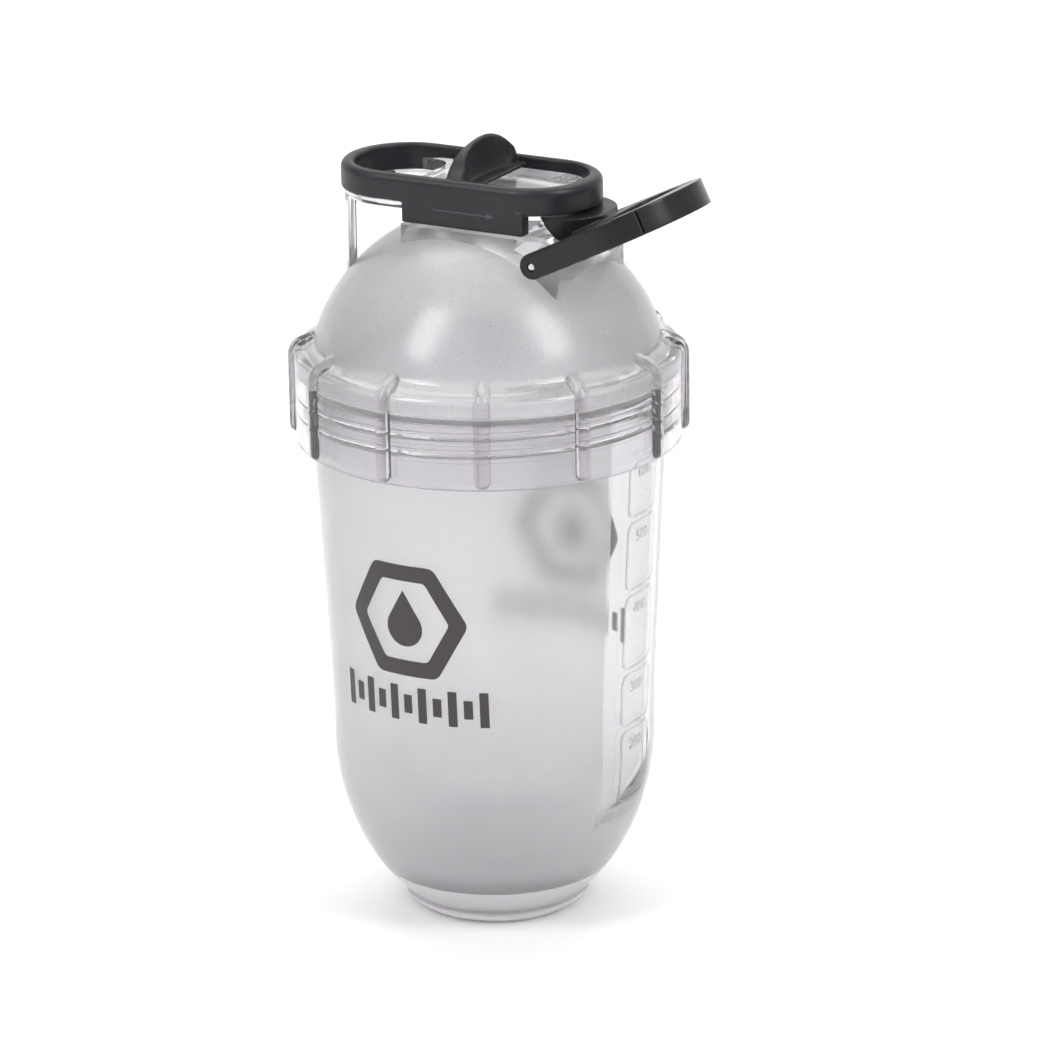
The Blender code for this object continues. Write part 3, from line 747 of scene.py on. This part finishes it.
def make_prints():
    finish = ink("print_ink", (0.036, 0.031, 0.029), (0.044, 0.038, 0.036))
    for facing, label in ((PRINT_ANGLE, "front"), (PRINT_ANGLE + math.pi, "rear")):
        shape = emblem()
        slice_across(shape, 24.0 * MM, 0.8 * MM)
        thicken(shape, 0.01 * MM, 0.05 * MM)
        wrap_on_cup(shape, facing)
        mark = finish_mesh("print_" + label, shape, [finish])
        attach(mark, "cup")


# Lid

def lid_skin():
    outline = [(0.0, COLLAR_BOTTOM), (COLLAR_RADIUS - 0.6 * MM, COLLAR_BOTTOM)]
    outline += arc((COLLAR_RADIUS - 0.6 * MM, COLLAR_BOTTOM + 0.6 * MM), 0.6 * MM, -math.pi / 2.0, 0.0, 5)[1:]
    shoulder = 2.0 * MM
    centre = (COLLAR_RADIUS - shoulder, SHOULDER_BOTTOM)
    outline += arc(centre, shoulder, 0.0, math.radians(80.0), 10)
    dome_start = math.asin((SHOULDER_BOTTOM + 4.2 * MM - DOME_CENTRE) / DOME_RADIUS)
    foot = (DOME_RADIUS * math.cos(dome_start), DOME_CENTRE + DOME_RADIUS * math.sin(dome_start))
    last = outline[-1]
    for share in (0.3, 0.6, 0.85):
        dip = 0.35 * MM * math.sin(math.pi * share)
        outline.append((last[0] + (foot[0] - last[0]) * share, last[1] + (foot[1] - last[1]) * share - dip))
    outline += arc((0.0, DOME_CENTRE), DOME_RADIUS, dome_start, math.pi / 2.0, 48)
    outline[-1] = (0.0, DOME_CENTRE + DOME_RADIUS)
    return outline


def lid_hollow():
    inner = DOME_RADIUS - DOME_WALL
    seat_angle = math.asin((SEAL_SEAT - DOME_CENTRE) / inner)
    outline = [(0.0, COLLAR_BOTTOM - OVERSHOOT), (COLLAR_BORE, COLLAR_BOTTOM - OVERSHOOT)]
    outline += [(COLLAR_BORE, SEAL_SEAT)]
    outline += arc((0.0, DOME_CENTRE), inner, seat_angle, math.pi / 2.0, 48)
    outline[-1] = (0.0, DOME_CENTRE + inner)
    return outline


def grip_ribs():
    """Round-nosed bars up the collar that lean over the shoulder onto the dome."""
    depth = 1.9 * MM
    run = RIB_RADIUS - depth
    path = [(run, COLLAR_BOTTOM + rise * MM) for rise in (2.9, 8.0, 15.0)]
    bend = 3.6 * MM
    path += arc((run - bend, SHOULDER_BOTTOM - 0.8 * MM), bend, 0.0, math.radians(62.0), 8)
    end = path[-1]
    for step in (1.2, 2.4, 3.4):
        path.append((end[0] - step * MM, end[1] + step * 0.42 * MM))
    builders = []
    places = []
    for index in range(RIB_COUNT):
        builders.append(tube(path, RIB_WIDTH / 2.0, depth))
        places.append(Matrix.Rotation(RIB_PHASE + 2.0 * math.pi * index / RIB_COUNT, 4, "Z"))
    return merge(builders, places)


def on_face(outward, upward):
    """A point by its distances out of and up the slanted mouth, from the pivot."""
    x = PIVOT_X + outward * math.cos(FACE_TILT) - upward * math.sin(FACE_TILT)
    z = PIVOT_Z + outward * math.sin(FACE_TILT) + upward * math.cos(FACE_TILT)
    return (x, z)


def face_at_height(height):
    rise = (height - PIVOT_Z) * math.sin(FACE_TILT)
    return PIVOT_X + (FACE_OFFSET - rise) / math.cos(FACE_TILT)


def face_height_at(x):
    return PIVOT_Z + (FACE_OFFSET - (x - PIVOT_X) * math.cos(FACE_TILT)) / math.sin(FACE_TILT)


def saddle_block():
    middle = (BLOCK_LEFT + BLOCK_RIGHT) / 2.0
    outline = rounded_rectangle(middle, (BLOCK_RIGHT - BLOCK_LEFT) / 2.0, BLOCK_HALF, 1.2 * MM, 4)
    return prism(outline, DOME_CENTRE + 10.0 * MM, LEDGE_HEIGHT)


def deck():
    left = SLIDE_CENTRE - OPENING_HALF_LENGTH + SLIDE_TRAVEL + GAP
    right = SLIDE_CENTRE + OPENING_HALF_LENGTH - GAP
    outline = rounded_rectangle((left + right) / 2.0, (right - left) / 2.0, DECK_HALF, OPENING_CORNER - GAP)
    return prism(outline, LEDGE_HEIGHT - OVERSHOOT, DECK_TOP)


def deck_undercut():
    left = SLIDE_CENTRE - OPENING_HALF_LENGTH
    return box((left, BLOCK_LEFT - SEAM_STEP), (-BLOCK_HALF, BLOCK_HALF),
               (LEDGE_HEIGHT - 2.0 * OVERSHOOT, FRAME_BOTTOM))


def slanted_cut():
    far = BLOCK_RIGHT + OVERSHOOT
    outline = [(face_at_height(OVERHANG_BOTTOM), OVERHANG_BOTTOM), (far, face_height_at(far))]
    outline += [(far, OVERHANG_BOTTOM)]
    return side_prism(outline, BLOCK_HALF + OVERSHOOT)


def loop_end_x():
    return SLIDE_CENTRE - SLIDE_HALF_LENGTH + SLIDE_HALF_WIDTH


def loop_band():
    outline = arc((loop_end_x(), 0.0), LEG_RADIUS, math.pi / 2.0, math.pi * 1.5, 48)
    outline += [(BLOCK_LEFT - GAP, -LEG_RADIUS), (BLOCK_LEFT - GAP, LEG_RADIUS)]
    return prism(outline, FRAME_BOTTOM + 4.0 * SEAM_STEP, SLIDE_BOTTOM - GAP)


def finger_hole():
    radius = DECK_HALF - FRAME_RIM
    corner = 5.0 * MM
    right = BLOCK_LEFT - OVERSHOOT
    outline = arc((loop_end_x(), 0.0), radius, math.pi / 2.0, math.pi * 1.5, 40)
    outline += arc((right - corner, corner - radius), corner, -math.pi / 2.0, 0.0, 10)
    outline += arc((right - corner, radius - corner), corner, 0.0, math.pi / 2.0, 10)
    return prism(outline, FRAME_BOTTOM - 4.0 * MM, DECK_TOP + OVERSHOOT)


def loop_leg():
    """The curved plate below the loop's round end, filleted into the band."""
    outer = LEG_RADIUS - SEAM_STEP
    inner = outer - LEG_WALL
    top = SLIDE_BOTTOM - GAP - 0.7 * MM
    base = DOME_CENTRE + 15.0 * MM
    section = [(inner, base), (outer, base), (outer, top), (inner - 1.6 * MM, top)]
    section += arc((inner - 2.0 * MM, FRAME_BOTTOM - 2.2 * MM), 2.0 * MM, math.radians(75.0), 0.0, 6)
    steps = 40
    slices = []
    for index in range(steps + 1):
        angle = math.pi - LEG_HALF_ANGLE + 2.0 * LEG_HALF_ANGLE * index / steps
        ring = []
        for radius, height in section:
            x = loop_end_x() + radius * math.cos(angle)
            ring.append((x, radius * math.sin(angle), height))
        slices.append(ring)
    return loft(slices)


def mouth_channel():
    outline = [on_face(FACE_OFFSET + OVERSHOOT, MOUTH_LOW), on_face(FACE_OFFSET + OVERSHOOT, MOUTH_HIGH)]
    outline += [on_face(-3.0 * MM, MOUTH_HIGH), (12.0 * MM, 174.0 * MM), (20.0 * MM, 174.0 * MM)]
    outline += [on_face(-0.5 * MM, MOUTH_LOW)]
    return side_prism(outline, MOUTH_HALF)


def pivot_cylinder(radius, half_length, centre_y, steps=40):
    outline = arc((PIVOT_X, PIVOT_Z), radius, 0.0, 2.0 * math.pi, steps)[:-1]
    return side_prism(outline, half_length, centre_y)


def pin_centre(side):
    return side * (PIN_INNER + PIN_OUTER) / 2.0


def paint_lid(mesh):
    """Slot 0 is clear, 1 the dome's frosted inner face, 2 its satin outer face, 3 the collar,
    4 its ribs and lower rim, tinted darker: partly the plastic's mauve, partly painted shade."""
    inner = DOME_RADIUS - DOME_WALL
    centre = Vector((0.0, 0.0, DOME_CENTRE))
    for face in mesh.polygons:
        reach = (face.center - centre).length
        inward = face.normal.dot(face.center - centre) < 0.0
        above_seat = face.center.z > SEAL_SEAT - 0.2 * MM
        above_shoulder = face.center.z > SHOULDER_BOTTOM + 4.2 * MM
        if inward and above_seat and abs(reach - inner) < 0.25 * MM:
            face.material_index = 1
        elif not above_shoulder:
            outer = math.hypot(face.center.x, face.center.y)
            edge = face.center.z < COLLAR_BOTTOM + 0.65 * MM or outer > COLLAR_RADIUS + 0.1 * MM
            face.material_index = 4 if edge else 3
        elif not inward and abs(reach - DOME_RADIUS) < 0.1 * MM:
            face.material_index = 2


def make_lid():
    materials = [clear_plastic("lid_clear", (0.93, 0.92, 0.94), (0.91, 0.90, 0.92), 0.03, 0.06, 0.01),
                 frosted_plastic("lid_frost", (0.85, 0.85, 0.855), (0.83, 0.83, 0.84), 0.27, 0.33, 0.3),
                 clear_plastic("lid_satin", (0.91, 0.90, 0.915), (0.89, 0.88, 0.90), 0.20, 0.26, 0.04),
                 clear_plastic("lid_collar", (0.90, 0.88, 0.905), (0.87, 0.85, 0.875), 0.04, 0.08, 0.04),
                 # Slot 4 is a darker copy of the collar's plastic: its own mauve tint deepened as painted
                 # shade for the dark lines along ribs and rim.
                 clear_plastic("lid_edges_painted_shade", (0.68, 0.645, 0.685), (0.63, 0.60, 0.64), 0.08, 0.14, 0.06)]
    lid = finish_mesh("lid", lathe(lid_skin()), materials)
    combine(lid, grip_ribs(), "UNION")
    combine(lid, saddle_block(), "UNION")
    combine(lid, deck(), "UNION")
    combine(lid, slanted_cut(), "DIFFERENCE")
    combine(lid, deck_undercut(), "DIFFERENCE")
    combine(lid, loop_band(), "UNION")
    combine(lid, loop_leg(), "UNION")
    combine(lid, lathe(lid_hollow()), "DIFFERENCE")
    combine(lid, finger_hole(), "DIFFERENCE")
    combine(lid, mouth_channel(), "DIFFERENCE")
    for side in (-1.0, 1.0):
        half = (PIN_OUTER - PIN_INNER) / 2.0 + GAP
        combine(lid, pivot_cylinder(PIN_RADIUS + GAP, half, pin_centre(side)), "DIFFERENCE")
    start = THREAD_START + THREAD_LEAD * 0.5
    combine(lid, thread(COLLAR_BORE, COLLAR_BORE - THREAD_DEPTH, start), "UNION")
    paint_lid(lid.data)
    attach(lid, "lid")
    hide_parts("lid_shell")


def make_chevrons():
    """Three small raised arrowheads on the deck plate."""
    shapes = []
    for index in range(3):
        x = (15.6 + 2.0 * index) * MM
        y = 9.2 * MM
        outline = [(x, y - 1.5 * MM), (x + 0.6 * MM, y - 1.5 * MM), (x + 1.6 * MM, y)]
        outline += [(x + 0.6 * MM, y + 1.5 * MM), (x, y + 1.5 * MM), (x + 1.0 * MM, y)]
        shapes.append(flat_shape([outline]))
    builder = merge(shapes)
    thicken(builder, DECK_TOP - 0.001 * MM, DECK_TOP + 0.2 * MM)
    finish = clear_plastic("lid_mark", (0.97, 0.97, 0.97), (0.94, 0.94, 0.94), 0.25, 0.35)
    marks = finish_mesh("deck_chevrons", builder, [finish])
    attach(marks, "lid")


def make_seal():
    low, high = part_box("lid_seal")
    inner = NECK_RADIUS - WALL + 0.8 * MM
    outer = high.x
    middle = (low.z + high.z) / 2.0
    half = (high.z - low.z) / 2.0
    outline = arc((inner + half, middle), half, math.radians(90.0), math.radians(270.0), 8)
    outline += arc((outer - half, middle), half, math.radians(-90.0), math.radians(90.0), 8)
    seal = finish_mesh("seal_ring", lathe(outline), [silicone("seal_silicone", (0.50, 0.49, 0.51),
                                                             (0.56, 0.55, 0.57), 0.5)])
    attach(seal, "seal")
    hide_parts("lid_seal")


# Black parts

def ring_plan(inset):
    corner = SLIDE_HALF_WIDTH - inset - 0.01 * MM
    return rounded_rectangle(SLIDE_CENTRE, SLIDE_HALF_LENGTH - inset, SLIDE_HALF_WIDTH - inset, corner, 32)


def opening_plan(inset):
    return rounded_rectangle(SLIDE_CENTRE, OPENING_HALF_LENGTH - inset, OPENING_HALF_WIDTH - inset,
                             OPENING_CORNER - inset, 24)


def opening_cutter():
    """The ring's opening, flared at its upper rim."""
    flare = 0.9 * MM
    levels = [(0.0, SLIDE_BOTTOM - 8.0 * MM), (0.0, SLIDE_TOP - flare)]
    turns = [math.pi / 2.0 * index / 6.0 for index in range(1, 7)]
    levels += [(flare * (math.cos(turn) - 1.0), SLIDE_TOP - flare * (1.0 - math.sin(turn))) for turn in turns]
    levels.append((-flare, SLIDE_TOP + OVERSHOOT))
    return loft([[(x, y, height) for x, y in opening_plan(inset)] for inset, height in levels])


def thumb_fin():
    """The half-round fin that leans to +X, hollowed for the thumb on that side."""
    base = SLIDE_TOP - 2.5 * MM
    half_chord = OPENING_HALF_WIDTH + 0.8 * MM
    turns = [math.pi * index / 48.0 for index in range(49)]
    across = [(half_chord * math.cos(turn), base + (TAB_TOP - base) * math.sin(turn)) for turn in turns]
    across += [(-half_chord, DECK_TOP + GAP), (half_chord, DECK_TOP + GAP)]
    fin = finish_mesh("fin", prism(across, FIN_LEFT, FIN_RIGHT, FRONT_VIEW), [])
    back = [(FIN_LEFT - OVERSHOOT, 197.0 * MM), (FIN_LEFT + 0.6 * MM, 197.0 * MM), (-3.3 * MM, 200.4 * MM)]
    back += [(-3.0 * MM, 203.6 * MM), (-2.2 * MM, 206.2 * MM), (-1.0 * MM, 209.0 * MM)]
    back += [(FIN_LEFT - OVERSHOOT, 209.0 * MM)]
    combine(fin, side_prism(back, 20.0 * MM), "DIFFERENCE")
    hollow = bmesh.new()
    bmesh.ops.create_uvsphere(hollow, u_segments=72, v_segments=48, radius=1.0)
    scale = Matrix.Diagonal((4.2 * MM, 14.0 * MM, 7.6 * MM, 1.0))
    bmesh.ops.transform(hollow, matrix=Matrix.Translation((FIN_RIGHT + 1.4 * MM, 0.0, 202.6 * MM)) @ scale,
                        verts=hollow.verts)
    combine(fin, hollow, "DIFFERENCE")
    soften(fin, 0.28 * MM, 16)
    return take_shape(fin)


def make_slide(finish):
    slide = finish_mesh("slide", soft_prism(ring_plan, SLIDE_BOTTOM, SLIDE_TOP, 0.4 * MM, 2.0 * MM), [finish])
    skirt = box((BLOCK_LEFT, SKIRT_RIGHT), (-SLIDE_HALF_WIDTH, SLIDE_HALF_WIDTH),
                (LEDGE_HEIGHT + GAP, SLIDE_BOTTOM + OVERSHOOT))
    combine(slide, skirt, "UNION")
    combine(slide, opening_cutter(), "DIFFERENCE")
    bridge_half = OPENING_HALF_WIDTH + MM
    bridge = box((FIN_LEFT - 1.2 * MM, FIN_RIGHT + 2.2 * MM), (-bridge_half, bridge_half),
                 (DECK_TOP + GAP, DECK_TOP + 1.3 * MM))
    combine(slide, bridge, "UNION")
    combine(slide, thumb_fin(), "UNION")
    soften(slide, 0.26 * MM, 5)
    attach(slide, "slide")
    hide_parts("slide_lock")


def arrow_shape():
    """A thin arrow along +X, drawn as (x, z)."""
    left, tail, tip, middle = -6.0 * MM, 9.6 * MM, 11.9 * MM, 192.1 * MM
    line = 0.18 * MM
    outline = [(left, middle - line), (tail, middle - line), (tail, middle - 0.75 * MM), (tip, middle)]
    outline += [(tail, middle + 0.75 * MM), (tail, middle + line), (left, middle + line)]
    return outline


def make_arrows():
    """Arrows sunk to the surface of each skirt, showing which way the slide goes."""
    finish = black_plastic("arrow_grey", (0.06, 0.062, 0.07), (0.07, 0.073, 0.082), 0.42, 0.52, 0.1)
    for side, label in ((-1.0, "front"), (1.0, "rear")):
        builder = side_prism(arrow_shape(), 0.05 * MM, side * SLIDE_HALF_WIDTH)
        arrow = finish_mesh("slide_arrow_" + label, builder, [finish])
        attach(arrow, "slide")


def cap_prism(outline, half_depth):
    """A prism across the flip cap's plane, whose plan runs along its arms from the pivot."""
    place = Matrix.Translation((PIVOT_X, 0.0, PIVOT_Z)) @ Matrix.Rotation(-CAP_TILT, 4, "Y")
    return prism(outline, -half_depth, half_depth, place)


def plan_box(start, end, half_width):
    return [(start, -half_width), (end, -half_width), (end, half_width), (start, half_width)]


def yoke_plan():
    """The fork's plan from the pivot to its round end."""
    reach = CAP_LENGTH - NOSE_START
    outline = [(0.0, -ARM_OUTER)]
    for index in range(65):
        angle = -math.pi / 2.0 + math.pi * index / 64.0
        outline.append((NOSE_START + reach * math.cos(angle), ARM_OUTER * math.sin(angle)))
    outline.append((0.0, ARM_OUTER))
    return outline


def dome_relief():
    """The dome as it stands to the cap once the cap is pressed down, with a gap between them."""
    builder = bmesh.new()
    bmesh.ops.create_uvsphere(builder, u_segments=96, v_segments=64, radius=DOME_RADIUS + 2.0 * GAP)
    bmesh.ops.translate(builder, verts=builder.verts, vec=(0.0, 0.0, DOME_CENTRE))
    pivot = Matrix.Translation((PIVOT_X, 0.0, PIVOT_Z))
    turn = pivot @ Matrix.Rotation(-CAP_SWING, 4, "Y") @ pivot.inverted()
    bmesh.ops.transform(builder, matrix=turn, verts=builder.verts)
    return builder


def along_arm(distance):
    return (PIVOT_X + distance * math.cos(CAP_TILT), PIVOT_Z + distance * math.sin(CAP_TILT))


def cover_outline():
    outer = on_face(FACE_OFFSET + 9.3 * MM, 0.0)
    top_x = face_at_height(COVER_TOP) + GAP / math.cos(FACE_TILT)
    outline = [on_face(FACE_OFFSET + GAP, MOUTH_LOW - 0.6 * MM), along_arm(8.0 * MM), along_arm(16.0 * MM)]
    outline += [(outer[0] + 1.6 * MM, outer[1] + 1.4 * MM), (outer[0] - 0.4 * MM, COVER_TOP)]
    outline += [(top_x, COVER_TOP)]
    return outline


def cover():
    """The mouth's cover, with its far corners rounded off beyond the slide's end."""
    piece = finish_mesh("cover", side_prism(cover_outline(), COVER_HALF), [])
    start = 24.0 * MM
    beyond = 45.0 * MM
    for side in (-1.0, 1.0):
        turns = [math.pi / 2.0 * index / 8.0 for index in range(8)]
        half = side * (COVER_HALF + 0.01 * MM)
        corner = [(start + 12.6 * MM * math.sin(turn), half * math.cos(turn)) for turn in turns]
        corner += [(37.2 * MM, side * 1.0 * MM), (beyond, side * 1.0 * MM), (beyond, side * 20.0 * MM)]
        corner += [(start, side * 20.0 * MM)]
        combine(piece, prism(corner, 170.0 * MM, 200.0 * MM), "DIFFERENCE")
    return take_shape(piece)


def make_cap(finish, gloss):
    cap = finish_mesh("flip_cap_yoke", cap_prism(yoke_plan(), ARM_HALF_DEPTH), [finish])
    combine(cap, pivot_cylinder(BOSS_RADIUS, ARM_OUTER, 0.0, 48), "UNION")
    combine(cap, cap_prism(plan_box(-CUT_HALF, 8.6 * MM, ARM_INNER), CUT_HALF), "DIFFERENCE")
    middle = (FINGER_HOLE_START + FINGER_HOLE_END) / 2.0
    half = (FINGER_HOLE_END - FINGER_HOLE_START) / 2.0
    hole = rounded_rectangle(middle, half, 15.0 * MM, 5.0 * MM, 12)
    combine(cap, cap_prism(hole, CUT_HALF), "DIFFERENCE")
    combine(cap, cover(), "UNION")
    combine(cap, dome_relief(), "DIFFERENCE")
    beyond = CAP_LENGTH + OVERSHOOT
    combine(cap, cap_prism(plan_box(PAD_START, beyond, ARM_OUTER), CUT_HALF), "DIFFERENCE")
    soften(cap, 0.28 * MM, 5)
    for side in (-1.0, 1.0):
        bore = pivot_cylinder(PIN_RADIUS + GAP, 3.0 * MM, side * (ARM_INNER + ARM_OUTER) / 2.0)
        combine(cap, bore, "DIFFERENCE")
    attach(cap, "cap")
    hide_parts("flip_cap")
    nose = finish_mesh("flip_cap_nose", cap_prism(yoke_plan(), ARM_HALF_DEPTH), [gloss])
    combine(nose, cap_prism(plan_box(-CUT_HALF, PAD_START + GAP, 30.0 * MM), CUT_HALF), "DIFFERENCE")
    soften(nose, 0.22 * MM, 6)
    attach(nose, "cap")
    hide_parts("cap_nose")


def make_plug(finish):
    face = FACE_OFFSET + GAP - 0.05 * MM
    depth = 3.0 * MM
    clear = math.hypot(FACE_OFFSET, MOUTH_LOW) + GAP
    low_start = math.asin((face - depth) / clear)
    low_end = math.asin(FACE_OFFSET / clear)
    outline = []
    for index in range(11):
        angle = low_start + (low_end - low_start) * index / 10.0
        outline.append(on_face(clear * math.sin(angle), clear * math.cos(angle)))
    outline += [on_face(FACE_OFFSET, MOUTH_HIGH - GAP), on_face(face - depth, MOUTH_HIGH - GAP - 0.6 * MM)]
    plug = finish_mesh("mouth_plug_soft", side_prism(outline, MOUTH_HALF - GAP), [finish])
    soften(plug, 0.2 * MM, 4)
    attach(plug, "cap")
    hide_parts("mouth_plug")


def make_pins(finish):
    """Turned pins with chamfered ends."""
    half = (PIN_OUTER - PIN_INNER) / 2.0
    chamfer = 0.25 * MM
    outline = [(0.0, -half), (PIN_RADIUS - chamfer, -half), (PIN_RADIUS, -half + chamfer)]
    outline += [(PIN_RADIUS, half - chamfer), (PIN_RADIUS - chamfer, half), (0.0, half)]
    for side, label in ((-1.0, "front"), (1.0, "rear")):
        builder = lathe(outline, 40)
        place = Matrix.Translation((PIVOT_X, pin_centre(side), PIVOT_Z))
        turn = Matrix.Rotation(math.pi / 2.0, 4, "X")
        bmesh.ops.transform(builder, matrix=place @ turn, verts=builder.verts)
        pin = finish_mesh("pin_" + label, builder, [finish])
        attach(pin, "lid")
        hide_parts("hinge_pin_" + label)


# Stage, light, camera

def make_stage():
    """A pale floor that curves up into a backdrop behind the bottle."""
    material, nodes, links = new_material("studio_floor")
    shader = nodes["Principled BSDF"]
    shader.inputs["Roughness"].default_value = 0.7
    grain = noise(nodes, links, 8.0, 2.0)
    links.new(colour_blend(nodes, links, grain.outputs["Fac"], (0.93, 0.93, 0.93), (0.95, 0.95, 0.95)),
              shader.inputs["Base Color"])
    front, back, radius, height, half_width = -3.0, 2.2, 1.0, 4.0, 4.0
    line = [(front, 0.0), (back - radius, 0.0)]
    line += arc((back - radius, radius), radius, -math.pi / 2.0, 0.0, 24)[1:]
    line.append((back, height))
    builder = bmesh.new()
    left = [builder.verts.new((-half_width, y, z)) for y, z in line]
    right = [builder.verts.new((half_width, y, z)) for y, z in line]
    for index in range(len(line) - 1):
        builder.faces.new((left[index], right[index], right[index + 1], left[index + 1]))
    mesh = bpy.data.meshes.new("backdrop")
    builder.to_mesh(mesh)
    builder.free()
    mesh.materials.append(material)
    mesh.shade_smooth()
    backdrop = bpy.data.objects.new("backdrop", mesh)
    backdrop.rotation_euler = (0.0, 0.0, VIEW_AZIMUTH)
    bpy.context.scene.collection.objects.link(backdrop)


def view_axes():
    back = Vector((math.sin(VIEW_AZIMUTH) * math.cos(VIEW_ELEVATION),
                   -math.cos(VIEW_AZIMUTH) * math.cos(VIEW_ELEVATION), math.sin(VIEW_ELEVATION)))
    right = Vector((math.cos(VIEW_AZIMUTH), math.sin(VIEW_AZIMUTH), 0.0))
    return right, back.cross(right), back


def make_camera():
    right, up, back = view_axes()
    aim = Vector((0.0, 0.0, VIEW_AIM_HEIGHT)) + right * VIEW_AIM_SIDE
    cosine, sine = math.cos(VIEW_ROLL), math.sin(VIEW_ROLL)
    rolled_right = right * cosine - up * sine
    rolled_up = right * sine + up * cosine
    data = bpy.data.cameras.new("camera")
    data.lens = VIEW_LENS
    data.sensor_width = 36.0
    data.clip_start = 0.05
    data.clip_end = 30.0
    camera = bpy.data.objects.new("camera", data)
    matrix = Matrix((rolled_right, rolled_up, back)).transposed().to_4x4()
    matrix.translation = aim + back * VIEW_DISTANCE
    camera.matrix_world = matrix
    bpy.context.scene.collection.objects.link(camera)
    bpy.context.scene.camera = camera


def softbox(name, azimuth, elevation, distance, size, power):
    """An area light at an angle round the bottle, measured from the viewing direction."""
    angle = VIEW_AZIMUTH + math.radians(azimuth)
    rise = math.radians(elevation)
    offset = Vector((math.sin(angle) * math.cos(rise), -math.cos(angle) * math.cos(rise), math.sin(rise)))
    target = Vector((0.0, 0.0, 0.11))
    data = bpy.data.lights.new(name, "AREA")
    data.shape = "RECTANGLE"
    data.size, data.size_y = size
    data.energy = power
    light = bpy.data.objects.new(name, data)
    light.location = target + offset * distance
    light.rotation_euler = offset.to_track_quat("Z", "Y").to_euler()
    bpy.context.scene.collection.objects.link(light)


def make_lights():
    softbox("key_left", -52.0, 43.0, 1.4, (0.38, 0.75), 7.0)
    softbox("key_right", 52.0, 43.0, 1.4, (0.42, 0.75), 7.0)
    softbox("top", 0.0, 88.0, 1.8, (1.6, 1.6), 5.0)
    softbox("floor_light", 180.0, 60.0, 2.4, (2.4, 1.5), 24.0)
    world = bpy.data.worlds.new("studio")
    world.use_nodes = True
    background = world.node_tree.nodes["Background"]
    background.inputs["Color"].default_value = (1.0, 1.0, 1.0, 1.0)
    background.inputs["Strength"].default_value = 0.58
    bpy.context.scene.world = world


def main():
    bpy.context.scene.view_settings.view_transform = "Standard"
    make_cup()
    make_scale()
    make_prints()
    make_lid()
    make_chevrons()
    make_seal()
    black = black_plastic("black_satin", (0.015, 0.0165, 0.020), (0.021, 0.0225, 0.026), 0.34, 0.44, 0.25)
    darker = black_plastic("black_cap", (0.009, 0.0095, 0.011), (0.012, 0.0125, 0.0145), 0.30, 0.40, 0.2)
    gloss = black_plastic("black_gloss", (0.011, 0.0115, 0.0135), (0.015, 0.0155, 0.018), 0.2, 0.28, 0.08)
    make_slide(black)
    make_arrows()
    make_cap(darker, gloss)
    make_plug(silicone("plug_silicone", (0.02, 0.02, 0.022), (0.03, 0.03, 0.032), 0.0))
    make_pins(pin_steel("pin_steel"))
    make_stage()
    make_lights()
    make_camera()


main()
